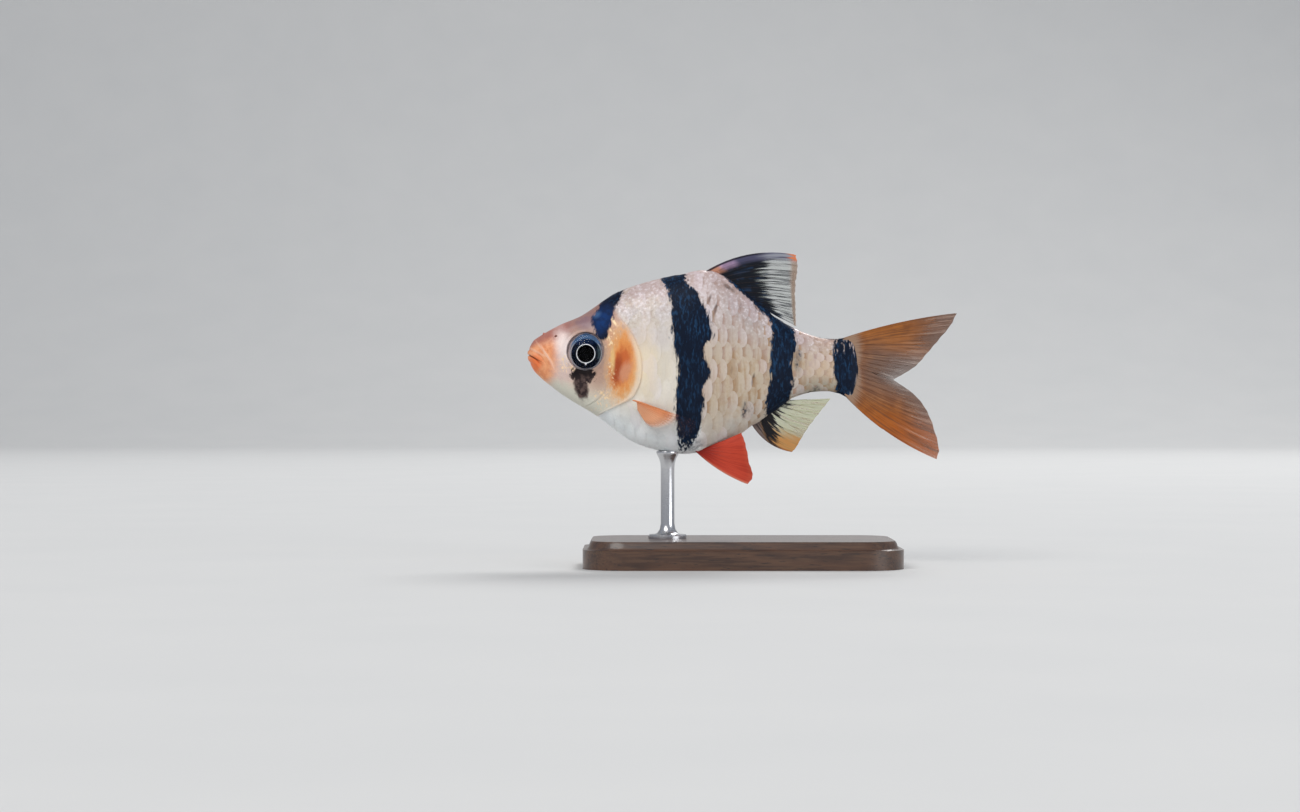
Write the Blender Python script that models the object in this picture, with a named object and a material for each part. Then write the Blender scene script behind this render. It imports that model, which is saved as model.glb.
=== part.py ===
"""A life-size tiger barb (Puntigrus tetrazona) as a still museum model, held up by a plain stand.

The fish looks along -X, its left flank faces -Y and +Z is up. The origin is on the floor, under the middle
of the whole model. Places on the fish are given as shares of its standard length (the length from the tip
of the snout to the end of the tail stalk): how far behind the snout, and how far above the mouth.
"""

import math

import bmesh
import bpy
import numpy as np
from mathutils import Vector

# Driving dimensions, in metres
STANDARD_LENGTH = 0.048
MIDDLE = 0.6478  # half way from the lips to the tip of the tail, where the origin lies
GAP = 0.0003  # what touching pieces keep between them
BASE_LENGTH, BASE_WIDTH, BASE_HEIGHT = 0.046, 0.025, 0.004
BASE_CORNER, BASE_CHAMFER = 0.006, 0.0006
ROD_RADIUS = 0.0010
FIN_CLEARANCE = 0.008  # from the top of the base to the lowest tip of the pelvic fins
LOWEST_FIN = -0.388
MOUTH_HEIGHT = BASE_HEIGHT + FIN_CLEARANCE - LOWEST_FIN * STANDARD_LENGTH

# The side view and the breadth, as shares of the standard length
BACK = [
    (0.0, 0.034), (0.023, 0.050), (0.096, 0.092), (0.157, 0.118), (0.263, 0.187), (0.369, 0.225),
    (0.460, 0.246), (0.538, 0.257), (0.590, 0.236), (0.732, 0.127), (0.840, 0.067), (0.920, 0.0485),
    (0.972, 0.055),
]
BELLY = [
    (0.0, -0.026), (0.023, -0.052), (0.081, -0.102), (0.217, -0.189), (0.308, -0.256), (0.390, -0.286),
    (0.475, -0.297), (0.545, -0.287), (0.626, -0.249), (0.720, -0.180), (0.793, -0.132), (0.884, -0.108),
    (0.935, -0.112), (0.972, -0.131),
]
WAIST = [
    (0.0, 0.0), (0.157, -0.004), (0.30, -0.022), (0.46, -0.050), (0.65, -0.040), (0.85, -0.025),
    (0.972, -0.036),
]
BREADTH = [
    (0.0, 0.027), (0.05, 0.045), (0.157, 0.066), (0.263, 0.080), (0.40, 0.091), (0.50, 0.088), (0.62, 0.072),
    (0.793, 0.041), (0.92, 0.023), (0.972, 0.0175),
]
# How full the section is, above and below the widest part: 1 is an ellipse, less is squarer, more is leaner
FULLNESS_ABOVE = [
    (0.0, 0.95), (0.10, 0.87), (0.22, 0.87), (0.38, 1.02), (0.60, 1.15), (0.80, 1.1), (0.972, 1.0),
]
FULLNESS_BELOW = [
    (0.0, 0.95), (0.12, 0.90), (0.25, 1.0), (0.45, 0.95), (0.65, 1.0), (0.80, 1.05), (0.972, 1.0),
]
SNOUT_ROUND = 0.022  # the snout closes over this share, and the tail stalk over the next one
STALK_ROUND = 0.034
STALK_END = 1.004

# The rear edge of the gill cover and of the nape, which parts the head from the trunk
GILL_EDGE = [
    (0.262, 0.245), (0.2506, 0.179), (0.268, 0.130), (0.308, 0.076), (0.3385, 0.009), (0.3445, -0.052),
    (0.332, -0.100), (0.308, -0.133), (0.263, -0.155), (0.217, -0.179), (0.175, -0.225),
]
GILL_COVER = (0.3175, -0.034, 0.066, 0.128)  # centre behind and up, half length, half height
GILL_COVER_RISE = 0.00032
TAIL_CUT = 0.823

EYE_CENTRE = (0.1748, 0.0105)
EYE_RADIUS, EYE_DEPTH = 0.00275, 0.00135
EYE_SINK = 0.00065  # from the skin's surface in to the middle of the eyeball
ORBIT_RISE, ORBIT_SPREAD = 0.00016, 0.0005

MOUTH_LINE = [(-0.02, 0.004), (0.0, 0.001), (0.012, -0.003), (0.025, -0.012), (0.038, -0.026)]
LIPS_END = 0.056
HEAD_LOFT_END = 0.42  # the head is drawn out this far, then cut along the gill edge
MOUTH_SLIT = 0.00030
LIP_HEIGHT, LIP_RISE, LIP_SPREAD = 0.00050, 0.00022, 0.00028
NOSTRIL_PLACE = (0.087, 0.054)
NOSTRIL_RADIUS = 0.00032

# Fins: half thickness of a ray and of the web, in metres, at the root and at the tip
RAY_ROOT, RAY_TIP = 0.00042, 0.00020
WEB_ROOT, WEB_TIP = 0.00026, 0.00015
THINNING = 2.5  # a higher value keeps the fin thick until nearer the tip
WEB_NOTCH = 0.030  # how far the web falls short of the ray tips, as a share of the ray

ROD_AT = 0.423


def curve_value(points, at):
    """Height at the place `at` of a smooth curve through (place, height) points."""
    places, heights = np.array(points, float).T
    widths = np.diff(places)
    slopes = np.diff(heights) / widths
    tangents = np.empty(len(places))
    tangents[1:-1] = (slopes[:-1] * widths[1:] + slopes[1:] * widths[:-1]) / (widths[:-1] + widths[1:])
    tangents[0], tangents[-1] = slopes[0], slopes[-1]
    span = np.clip(np.searchsorted(places, at) - 1, 0, len(places) - 2)
    width = widths[span]
    t = (np.asarray(at, float) - places[span]) / width
    start = (1 + 2 * t) * (1 - t) ** 2 * heights[span] + t * (1 - t) ** 2 * width * tangents[span]
    end = t * t * (3 - 2 * t) * heights[span + 1] + t * t * (t - 1) * width * tangents[span + 1]
    return start + end


def to_world(behind, up, out=0.0):
    """A place given as shares of the standard length, in metres."""
    x = (behind - MIDDLE) * STANDARD_LENGTH
    y, z = -out * STANDARD_LENGTH, MOUTH_HEIGHT + up * STANDARD_LENGTH
    return np.stack(np.broadcast_arrays(x, y, z), axis=-1)


def closing(behind):
    """How much of its full size the body has here: less than 1 only where the snout and the stalk close."""
    snout = np.clip(1 - behind / SNOUT_ROUND, 0, 1)
    stalk = np.clip(1 - (STALK_END - behind) / STALK_ROUND, 0, 1)
    return np.sqrt(np.clip(1 - snout**2, 0, 1)) * np.sqrt(np.clip(1 - stalk**2, 0, 1))


def section(behind):
    """Back, belly, waist and half breadth of the body at one place, all as shares."""
    full = closing(behind)
    waist = curve_value(WAIST, behind)
    back = waist + (curve_value(BACK, behind) - waist) * full
    belly = waist + (curve_value(BELLY, behind) - waist) * full
    return back, belly, waist, curve_value(BREADTH, behind) * full


def fullness(behind, above):
    """How square or lean the section is here, on its upper or lower side."""
    return np.where(above, curve_value(FULLNESS_ABOVE, behind), curve_value(FULLNESS_BELOW, behind))


def flank(behind, up):
    """Half breadth of the body at a place in the side view, as a share."""
    back, belly, waist, breadth = section(behind)
    above = up > waist
    reach = np.where(above, back - waist, waist - belly)
    height = np.clip((up - waist) / reach, -1, 1)
    return breadth * (1 - height**2) ** (fullness(behind, above) / 2)


def under_belly(behind, out):
    """Height of the body's underside at a place in the plan view, as a share."""
    back, belly, waist, breadth = section(behind)
    level = (np.abs(out) / breadth) ** (2 / fullness(behind, False))
    return waist - (waist - belly) * np.sqrt(1 - level)


def snout_places(rings):
    """Places of the rings where the snout closes."""
    return SNOUT_ROUND * (1 - np.cos(np.linspace(0, math.pi / 2, rings)))


def head_places():
    """Places of the head's rings, closest together at the lips."""
    lips = np.linspace(SNOUT_ROUND, LIPS_END, 7)[1:]
    return np.concatenate([snout_places(9), lips, np.linspace(LIPS_END, HEAD_LOFT_END, 36)[1:]])


def body_places():
    """Places of the rings of the whole body."""
    stalk = STALK_END - STALK_ROUND * (1 - np.cos(np.linspace(0, math.pi / 2, 6)))[::-1]
    return np.concatenate([snout_places(7), np.linspace(SNOUT_ROUND, stalk[0], 50)[1:-1], stalk])


def body_grid(places, around):
    """Points of the body's surface, one ring of `around` points at each place."""
    turn = np.arange(around) * 2 * math.pi / around
    back, belly, waist, breadth = (v[:, None] for v in section(places))
    above = np.cos(turn) > 0
    rise = np.where(above, back - waist, waist - belly)
    swell = np.abs(np.sin(turn)) ** fullness(places[:, None], above) * np.sign(np.sin(turn))
    return to_world(places[:, None], waist + rise * np.cos(turn), breadth * swell)


def grid_normals(grid, poles):
    """Outward normals of a grid whose rings run round the body, from one pole to the other."""
    ends = [np.broadcast_to(pole, grid[:1].shape) for pole in poles]
    along = np.gradient(np.concatenate([ends[0], grid, ends[1]]), axis=0)[1:-1]
    round_it = np.roll(grid, -1, axis=1) - np.roll(grid, 1, axis=1)
    normals = np.cross(round_it, along)
    sizes = np.linalg.norm(normals, axis=-1, keepdims=True)
    return normals / np.maximum(sizes, 1e-12)


def shares_of(points):
    """How far behind the snout and above the mouth points in metres are, as shares."""
    behind = points[..., 0] / STANDARD_LENGTH + MIDDLE
    return behind, (points[..., 2] - MOUTH_HEIGHT) / STANDARD_LENGTH


def step_up(value, low, high):
    """0 below low, 1 above high and smooth between them."""
    t = np.clip((value - low) / (high - low), 0, 1)
    return t * t * (3 - 2 * t)


def head_relief(points):
    """How far gill cover, eye rim and lips raise the head's surface at these points, in metres."""
    behind, up = shares_of(points)
    cover_behind, cover_up, cover_length, cover_height = GILL_COVER
    cover = np.hypot((behind - cover_behind) / cover_length, (up - cover_up) / cover_height)
    rise = GILL_COVER_RISE * (1 - step_up(cover, 0.90, 1.08))
    from_eye = np.hypot(behind - EYE_CENTRE[0], up - EYE_CENTRE[1]) * STANDARD_LENGTH
    rise += ORBIT_RISE * np.exp(-(((from_eye - EYE_RADIUS - GAP - ORBIT_SPREAD) / ORBIT_SPREAD) ** 2))
    above_mouth = (up - curve_value(MOUTH_LINE, np.minimum(behind, MOUTH_LINE[-1][0]))) * STANDARD_LENGTH
    lips = np.exp(-((np.maximum(np.abs(above_mouth) - LIP_HEIGHT, 0) / LIP_SPREAD) ** 2))
    return rise + LIP_RISE * lips * (1 - step_up(behind, 0.024, 0.052))


def material(name, colour, roughness=0.4, metallic=0.0):
    """A plain finish for one kind of surface."""
    made = bpy.data.materials.new(name)
    made.use_nodes = True
    shader = made.node_tree.nodes["Principled BSDF"]
    shader.inputs["Base Color"].default_value = (*colour, 1.0)
    shader.inputs["Roughness"].default_value = roughness
    shader.inputs["Metallic"].default_value = metallic
    made.diffuse_color = (*colour, 1.0)
    return made


def mesh_object(name, points, faces, finish):
    """A named mesh object with one finish."""
    mesh = bpy.data.meshes.new(name)
    mesh.from_pydata([tuple(p) for p in points], [], [tuple(f) for f in faces])
    mesh.materials.append(finish)
    made = bpy.data.objects.new(name, mesh)
    bpy.context.scene.collection.objects.link(made)
    return made


def body_object(name, places, around, finish, relief=None):
    """The whole body as one closed surface, rings joined from snout to stalk and a pole at each end."""
    grid = body_grid(places[1:-1], around)
    poles = to_world(places[[0, -1]], section(places[[0, -1]])[2])
    if relief:
        grid = grid + grid_normals(grid, poles) * relief(grid)[..., None]
        poles[0, 0] -= relief(poles)[0]
    rings = len(grid)
    points = np.concatenate([grid.reshape(-1, 3), poles])
    faces = []
    for i in range(rings - 1):
        for j in range(around):
            k = (j + 1) % around
            faces.append((i * around + j, (i + 1) * around + j, (i + 1) * around + k, i * around + k))
    for j in range(around):
        k = (j + 1) % around
        faces.append((rings * around, j, k))
        faces.append((rings * around + 1, (rings - 1) * around + k, (rings - 1) * around + j))
    return mesh_object(name, points, faces, finish)


def as_cutter(obj):
    """Marks a helper, which isn't part of the model."""
    obj.hide_render = True
    obj.display_type = "WIRE"
    return obj


def boolean(obj, cutter, operation):
    """Cuts obj with a helper object."""
    modifier = obj.modifiers.new(f"{operation.lower()} {cutter.name}", "BOOLEAN")
    modifier.operation = operation
    modifier.solver = "EXACT"
    modifier.object = cutter


def prism(name, outline, half_depth, finish):
    """A side-view outline, in shares, drawn out to both sides."""
    near = to_world(*np.array(outline).T, half_depth)
    far = to_world(*np.array(outline).T, -half_depth)
    count = len(outline)
    sides = [(i, (i + 1) % count, count + (i + 1) % count, count + i) for i in range(count)]
    ends = [range(count), range(2 * count - 1, count - 1, -1)]
    made = mesh_object(name, np.concatenate([near, far]), sides + ends, finish)
    facing_out(made)
    return as_cutter(made)


def facing_out(obj):
    """Turns all faces outwards."""
    shape = bmesh.new()
    shape.from_mesh(obj.data)
    bmesh.ops.recalc_face_normals(shape, faces=shape.faces)
    shape.to_mesh(obj.data)
    shape.free()


def sampled_edge(points, count, shift=0.0):
    """A smooth line through side-view points, in shares, moved across its direction by `shift`."""
    behind, up = np.array(points, float).T
    run = np.concatenate([[0], np.cumsum(np.hypot(np.diff(behind), np.diff(up)))])
    at = np.linspace(0, run[-1], count)
    line = np.stack([curve_value(np.stack([run, v], 1), at) for v in (behind, up)], axis=1)
    along = np.gradient(line, axis=0)
    across = np.stack([-along[:, 1], along[:, 0]], axis=1)
    shift = np.broadcast_to(shift, (count,))[:, None]
    return line + shift * across / np.linalg.norm(across, axis=1, keepdims=True)


def halved(obj, behind, keep_front):
    """Keeps what lies before or behind a flat cut across the body, and closes it."""
    shape = bmesh.new()
    shape.from_mesh(obj.data)
    cut = bmesh.ops.bisect_plane(
        shape,
        geom=shape.verts[:] + shape.edges[:] + shape.faces[:],
        plane_co=to_world(behind, 0.0),
        plane_no=(1, 0, 0),
        clear_outer=keep_front,
        clear_inner=not keep_front,
    )
    edges = [e for e in cut["geom_cut"] if isinstance(e, bmesh.types.BMEdge)]
    bmesh.ops.edgeloop_fill(shape, edges=edges)
    bmesh.ops.recalc_face_normals(shape, faces=shape.faces)
    shape.to_mesh(obj.data)
    shape.free()


def smooth(obj, angle=30):
    """Rounds the shading, apart from sharp edges."""
    obj.data.shade_smooth()
    obj.data.set_sharp_from_angle(angle=math.radians(angle))


def ellipsoid(name, centre, axis, radius, depth, finish, segments=30):
    """A ball flattened along axis."""
    shape = bmesh.new()
    bmesh.ops.create_uvsphere(shape, u_segments=segments, v_segments=segments // 2, radius=1.0)
    turn = Vector(axis).to_track_quat("Z", "X").to_matrix()
    for vertex in shape.verts:
        flat = Vector((vertex.co.x * radius, vertex.co.y * radius, vertex.co.z * depth))
        vertex.co = Vector(centre) + turn @ flat
    mesh = bpy.data.meshes.new(name)
    shape.to_mesh(mesh)
    shape.free()
    mesh.materials.append(finish)
    made = bpy.data.objects.new(name, mesh)
    bpy.context.scene.collection.objects.link(made)
    return made


def skin_at(behind, up, side, rise=0.0):
    """A point on the flank and the outward direction there. side is 1 for the left and -1 for the right."""
    step = 1e-4
    out = float(flank(behind, up))
    slope_back = float(flank(behind + step, up) - flank(behind - step, up)) / (2 * step)
    slope_up = float(flank(behind, up + step) - flank(behind, up - step)) / (2 * step)
    normal = Vector((-slope_back, -side, -slope_up)).normalized()
    return Vector(to_world(behind, up, out * side)) + normal * rise, normal


def fin_object(name, roots, tips, rays, rows, finish, bow=((0, 0.0), (1, 0.0)), side=0):
    """A fin: rays fanned from the root line to the tip line, with the web between them, as one closed sheet.

    roots and tips are (share across the fan, behind, up, out) points. bow is how far the rays curve
    towards the leading edge, across the fan. side is 1 or -1 for a left or right fin, and 0 for one on
    the midline.
    """
    columns = 2 * rays - 1
    across = np.linspace(0, 1, columns)
    is_ray = np.arange(columns) % 2 == 0
    root = np.stack([curve_value([(p[0], p[k]) for p in roots], across) for k in (1, 2, 3)], axis=1)
    tip = np.stack([curve_value([(p[0], p[k]) for p in tips], across) for k in (1, 2, 3)], axis=1)
    reach = np.where(is_ray, 1.0, 1.0 - WEB_NOTCH)
    along = np.linspace(0, 1, rows + 1)[None, :] * reach[:, None]
    line = tip - root
    leading = np.stack([line[:, 1], -line[:, 0], 0 * line[:, 0]], axis=1)
    leading /= np.linalg.norm(leading, axis=1, keepdims=True)
    bend = curve_value(bow, across)[:, None] * 4 * along * (1 - along)
    middle = root[:, None] + line[:, None] * along[..., None] + leading[:, None] * bend[..., None]
    middle = to_world(middle[..., 0], middle[..., 1], middle[..., 2] * (side or 1))
    normal = np.cross(np.gradient(middle, axis=0), np.gradient(middle, axis=1))
    normal /= np.linalg.norm(normal, axis=-1, keepdims=True)
    root_half = np.where(is_ray, RAY_ROOT, WEB_ROOT)[:, None]
    tip_half = np.where(is_ray, RAY_TIP, WEB_TIP)[:, None]
    half = root_half + (tip_half - root_half) * along**THINNING
    front, rear = middle + normal * half[..., None], middle - normal * half[..., None]
    return sheet_object(name, front, rear, finish)


def sheet_object(name, front, rear, finish):
    """Two grids joined round their rim, split into triangles alike on both."""
    columns, rows = front.shape[:2]
    count = columns * rows
    faces = []
    for i in range(columns - 1):
        for j in range(rows - 1):
            a, b, c, d = i * rows + j, (i + 1) * rows + j, (i + 1) * rows + j + 1, i * rows + j + 1
            if i % 2:
                pair = [(a, b, c), (a, c, d)]
            else:
                pair = [(a, b, d), (b, c, d)]
            faces += pair + [tuple(v + count for v in reversed(face)) for face in pair]
    rim = [i * rows for i in range(columns)]
    rim += [(columns - 1) * rows + j for j in range(1, rows)]
    rim += [i * rows + rows - 1 for i in range(columns - 2, -1, -1)]
    rim += list(range(rows - 2, 0, -1))
    for a, b in zip(rim, rim[1:] + rim[:1]):
        faces += [(b, a, a + count), (b, a + count, b + count)]
    points = np.concatenate([front.reshape(-1, 3), rear.reshape(-1, 3)])
    made = mesh_object(name, points, faces, finish)
    facing_out(made)
    smooth(made, 25)
    return made


def off_back(behind, gap=GAP):
    """Height just clear of the back, as a share."""
    return float(curve_value(BACK, behind)) + gap / STANDARD_LENGTH


def off_belly(behind, gap=GAP):
    """Height just clear of the belly, as a share."""
    return float(curve_value(BELLY, behind)) - gap / STANDARD_LENGTH


def make_body(skin, eye_finish):
    """Head, trunk, tail stalk and eyes."""
    head = body_object("head", head_places(), 52, skin, head_relief)
    smooth(head, 40)
    outline = list(sampled_edge(GILL_EDGE, 26)) + [(-0.05, -0.225), (-0.05, 0.245)]
    boolean(head, prism("gill_edge_cut", outline, 0.15, skin), "INTERSECT")
    wider = list(sampled_edge(GILL_EDGE, 26, GAP / STANDARD_LENGTH)) + [(-0.05, -0.235), (-0.05, 0.255)]
    trunk = body_object("trunk", body_places(), 40, skin)
    halved(trunk, TAIL_CUT, True)
    boolean(trunk, prism("nape_cut", wider, 0.15, skin), "DIFFERENCE")
    smooth(trunk, 40)
    stalk = body_object("tail_stalk", body_places(), 28, skin)
    halved(stalk, TAIL_CUT + GAP / STANDARD_LENGTH, False)
    smooth(stalk, 40)

    opening = MOUTH_SLIT / 2 / STANDARD_LENGTH * np.linspace(1.0, 0.4, 9)
    mouth = list(sampled_edge(MOUTH_LINE, 9, opening)) + list(sampled_edge(MOUTH_LINE, 9, -opening))[::-1]
    boolean(head, prism("mouth_cut", mouth, 0.08, skin), "DIFFERENCE")
    for side, word in ((1, "left"), (-1, "right")):
        place, axis = skin_at(*EYE_CENTRE, side, -EYE_SINK)
        ellipsoid(f"eye_{word}", place, axis, EYE_RADIUS, EYE_DEPTH, eye_finish)
        smooth(bpy.data.objects[f"eye_{word}"], 60)
        socket = ellipsoid(f"socket_cut_{word}", place, axis, EYE_RADIUS + GAP, EYE_DEPTH + GAP, skin)
        boolean(head, as_cutter(socket), "DIFFERENCE")
        nose, nose_axis = skin_at(*NOSTRIL_PLACE, side)
        depth = 1.5 * NOSTRIL_RADIUS
        pit = ellipsoid(f"nostril_cut_{word}", nose, nose_axis, NOSTRIL_RADIUS, depth, skin, 10)
        boolean(head, as_cutter(pit), "DIFFERENCE")


def make_median_fins(dark, amber):
    """The dorsal, anal and tail fins."""
    places = ((0, 0.548), (0.33, 0.610), (0.67, 0.672), (1, 0.732))
    dorsal_roots = [(s, b, off_back(b), 0.0) for s, b in places]
    dorsal_tips = [
        (0, 0.812, 0.3045, 0), (0.10, 0.8165, 0.285, 0), (0.45, 0.811, 0.205, 0), (0.75, 0.811, 0.140, 0),
        (1, 0.812, 0.0885, 0),
    ]
    bow = [(0, -0.025), (0.3, -0.012), (0.7, 0.0), (1, 0.0)]
    fin_object("dorsal_fin", dorsal_roots, dorsal_tips, 12, 7, dark, bow)

    anal_roots = [(s, b, off_belly(b), 0.0) for s, b in ((0, 0.683), (0.5, 0.738), (1, 0.793))]
    anal_tips = [
        (0, 0.800, -0.292, 0), (0.12, 0.808, -0.285, 0), (0.5, 0.845, -0.225, 0), (1, 0.918, -0.130, 0),
    ]
    fin_object("anal_fin", anal_roots, anal_tips, 9, 6, amber, [(0, 0.016), (0.5, 0.006), (1, 0.0)])

    clear = GAP / STANDARD_LENGTH
    upper_roots = [(0, 0.975, 0.0610, 0), (0.25, 0.992, 0.043, 0), (0.6, STALK_END + clear, 0.005, 0),
                   (1, STALK_END + clear, -0.0345 + clear / 2, 0)]
    upper_tips = [
        (0, 1.300, 0.128, 0), (0.12, 1.286, 0.098, 0), (0.35, 1.236, 0.036, 0), (0.65, 1.180, -0.028, 0),
        (1, 1.108, -0.0685, 0),
    ]
    fin_object("caudal_fin_upper", upper_roots, upper_tips, 10, 7, amber, [(0, -0.009), (0.5, 0.0), (1, 0.0)])
    lower_roots = [(0, STALK_END + clear, -0.0345 - clear / 2, 0), (0.4, STALK_END + clear, -0.075, 0),
                   (0.75, 0.992, -0.113, 0), (1, 0.975, -0.1375, 0)]
    lower_tips = [
        (0, 1.108, -0.0785, 0), (0.3, 1.178, -0.125, 0), (0.6, 1.222, -0.195, 0), (0.88, 1.246, -0.290, 0),
        (1, 1.239, -0.3145, 0),
    ]
    fin_object("caudal_fin_lower", lower_roots, lower_tips, 9, 7, amber, [(0, 0.0), (0.5, 0.006), (1, 0.017)])


def make_paired_fins(orange, red):
    """The pectoral and pelvic fins, a left and a right one of each."""
    clear = GAP / STANDARD_LENGTH
    for side, word in ((1, "left"), (-1, "right")):
        chest = [(0, 0.330, -0.140), (0.5, 0.334, -0.152), (1, 0.337, -0.165)]
        roots = [(s, b, u, float(flank(b, u)) + clear) for s, b, u in chest]
        tips = [
            (0, 0.510, -0.200, 0.150), (0.15, 0.503, -0.222, 0.150), (0.5, 0.455, -0.252, 0.142),
            (0.8, 0.408, -0.256, 0.128), (1, 0.378, -0.240, 0.113),
        ]
        fin_object(f"pectoral_fin_{word}", roots, tips, 12, 5, orange, side=side)
        hip = [(0, 0.512, 0.020), (0.5, 0.526, 0.026), (1, 0.540, 0.030)]
        roots = [(s, b, float(under_belly(b, out)) - clear, out) for s, b, out in hip]
        tips = [
            (0, 0.664, -0.388, 0.062), (0.12, 0.676, -0.374, 0.064), (0.5, 0.668, -0.318, 0.060),
            (0.8, 0.655, -0.258, 0.056), (1, 0.645, -0.234, 0.052),
        ]
        fin_object(f"pelvic_fin_{word}", roots, tips, 9, 5, red, side=side)


def make_stand(board, steel):
    """A flat base and one rod up to the belly."""
    shape = bmesh.new()
    corners = []
    for quarter, (sx, sy) in enumerate(((1, 1), (-1, 1), (-1, -1), (1, -1))):
        for step in range(7):
            turn = math.radians(90 * quarter + 15 * step)
            x = sx * (BASE_LENGTH / 2 - BASE_CORNER) + BASE_CORNER * math.cos(turn)
            y = sy * (BASE_WIDTH / 2 - BASE_CORNER) + BASE_CORNER * math.sin(turn)
            corners.append(shape.verts.new((x, y, 0.0)))
    foot = shape.faces.new(corners)
    made = bmesh.ops.extrude_face_region(shape, geom=[foot])
    top = [v for v in made["geom"] if isinstance(v, bmesh.types.BMVert)]
    bmesh.ops.translate(shape, vec=(0, 0, BASE_HEIGHT), verts=top)
    rim = [e for e in shape.edges if all(v.co.z > BASE_HEIGHT / 2 for v in e.verts)]
    bmesh.ops.bevel(shape, geom=rim, offset=BASE_CHAMFER, segments=2, profile=0.5, affect="EDGES")
    bmesh.ops.recalc_face_normals(shape, faces=shape.faces)
    mesh = bpy.data.meshes.new("stand_base")
    shape.to_mesh(mesh)
    shape.free()
    mesh.materials.append(board)
    base = bpy.data.objects.new("stand_base", mesh)
    bpy.context.scene.collection.objects.link(base)
    smooth(base, 40)

    foot_z, sides = BASE_HEIGHT + GAP, 20
    turn = np.arange(sides) * 2 * math.pi / sides
    behind = ROD_AT + ROD_RADIUS * np.cos(turn) / STANDARD_LENGTH
    out = ROD_RADIUS * np.sin(turn) / STANDARD_LENGTH
    top_ring = to_world(behind, under_belly(behind, out) - GAP / STANDARD_LENGTH, out)
    low_ring = top_ring.copy()
    low_ring[:, 2] = foot_z
    mids = np.array([low_ring.mean(0), top_ring.mean(0)])
    mids[1, 2] = to_world(ROD_AT, off_belly(ROD_AT))[2]
    faces = []
    for i in range(sides):
        k = (i + 1) % sides
        faces += [(i, k, sides + k, sides + i), (2 * sides, k, i), (2 * sides + 1, sides + i, sides + k)]
    rod = mesh_object("stand_rod", np.concatenate([low_ring, top_ring, mids]), faces, steel)
    facing_out(rod)
    smooth(rod, 40)


def main():
    for obj in list(bpy.data.objects):
        bpy.data.objects.remove(obj)
    skin = material("skin", (0.72, 0.62, 0.52), 0.35)
    eye_finish = material("eye", (0.02, 0.03, 0.06), 0.08)
    dark = material("dark_fin", (0.03, 0.03, 0.05), 0.4)
    amber = material("amber_fin", (0.45, 0.20, 0.07), 0.4)
    orange = material("orange_fin", (0.80, 0.30, 0.14), 0.4)
    red = material("red_fin", (0.62, 0.05, 0.03), 0.4)
    board = material("stand_wood", (0.03, 0.02, 0.015), 0.35)
    steel = material("stand_steel", (0.6, 0.6, 0.62), 0.25, 1.0)
    make_body(skin, eye_finish)
    make_median_fins(dark, amber)
    make_paired_fins(orange, red)
    make_stand(board, steel)


main()
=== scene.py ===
# %% [markdown]
# # A tiger barb on its stand
# This lesson makes the looks of a life-size tiger barb, the small striped aquarium fish, as a museum model
# maker would. The solids were made first, in real sizes, and are loaded here as a fixed frame: +X runs from
# the snout to the tail, the left side faces -Y and the board of the stand rests on the ground. Each piece
# below takes the place of a solid and stays where that solid is.

# %% The frame
import math

import bpy
import numpy as np
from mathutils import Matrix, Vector


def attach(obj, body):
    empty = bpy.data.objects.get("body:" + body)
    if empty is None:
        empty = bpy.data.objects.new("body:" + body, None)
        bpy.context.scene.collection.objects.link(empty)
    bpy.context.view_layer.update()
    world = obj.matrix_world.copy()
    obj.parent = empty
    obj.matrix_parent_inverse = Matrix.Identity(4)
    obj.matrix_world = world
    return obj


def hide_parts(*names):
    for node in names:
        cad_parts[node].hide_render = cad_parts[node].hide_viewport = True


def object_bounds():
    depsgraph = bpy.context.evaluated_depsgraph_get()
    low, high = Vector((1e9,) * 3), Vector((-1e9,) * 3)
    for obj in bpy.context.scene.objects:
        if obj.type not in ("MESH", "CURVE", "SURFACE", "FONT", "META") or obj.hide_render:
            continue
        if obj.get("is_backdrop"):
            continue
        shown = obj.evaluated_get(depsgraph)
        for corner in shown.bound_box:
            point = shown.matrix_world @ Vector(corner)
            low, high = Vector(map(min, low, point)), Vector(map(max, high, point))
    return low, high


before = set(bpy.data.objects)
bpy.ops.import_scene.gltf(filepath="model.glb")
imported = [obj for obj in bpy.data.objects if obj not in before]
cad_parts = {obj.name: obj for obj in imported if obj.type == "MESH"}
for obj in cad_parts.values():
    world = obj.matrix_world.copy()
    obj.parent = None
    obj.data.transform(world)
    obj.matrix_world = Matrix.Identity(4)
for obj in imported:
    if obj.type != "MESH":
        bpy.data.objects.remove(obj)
cad_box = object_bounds()
print("the solids fill", [tuple(round(v * 1000, 1) for v in corner) for corner in cad_box], "mm")

# %% [markdown]
# The fish was measured as shares of its standard length, the length without the tail fin: how far behind the
# snout a place is, how far above the mouth, and how far out from the middle. Curves through a few such
# shares give the back, the belly and the breadth, and a section at each place says how round the body is.
# The same curves made the solids, so the skin can't drift away from them.

# %% Sizes of the body
MM = 0.001
STANDARD_LENGTH = 0.048
MIDDLE = 0.6478
MOUTH_HEIGHT = 0.030624
BASE_HEIGHT = 0.004
SNOUT_ROUND, STALK_ROUND, STALK_END = 0.022, 0.034, 1.004
BACK = [
    (0.0, 0.034), (0.023, 0.050), (0.096, 0.092), (0.157, 0.118), (0.263, 0.187), (0.369, 0.225),
    (0.460, 0.246), (0.538, 0.257), (0.590, 0.236), (0.732, 0.127), (0.840, 0.067), (0.920, 0.0485),
    (0.972, 0.055),
]
BELLY = [
    (0.0, -0.026), (0.023, -0.052), (0.081, -0.102), (0.217, -0.189), (0.308, -0.256), (0.390, -0.286),
    (0.475, -0.297), (0.545, -0.287), (0.626, -0.249), (0.720, -0.180), (0.793, -0.132), (0.884, -0.108),
    (0.935, -0.112), (0.972, -0.131),
]
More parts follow.
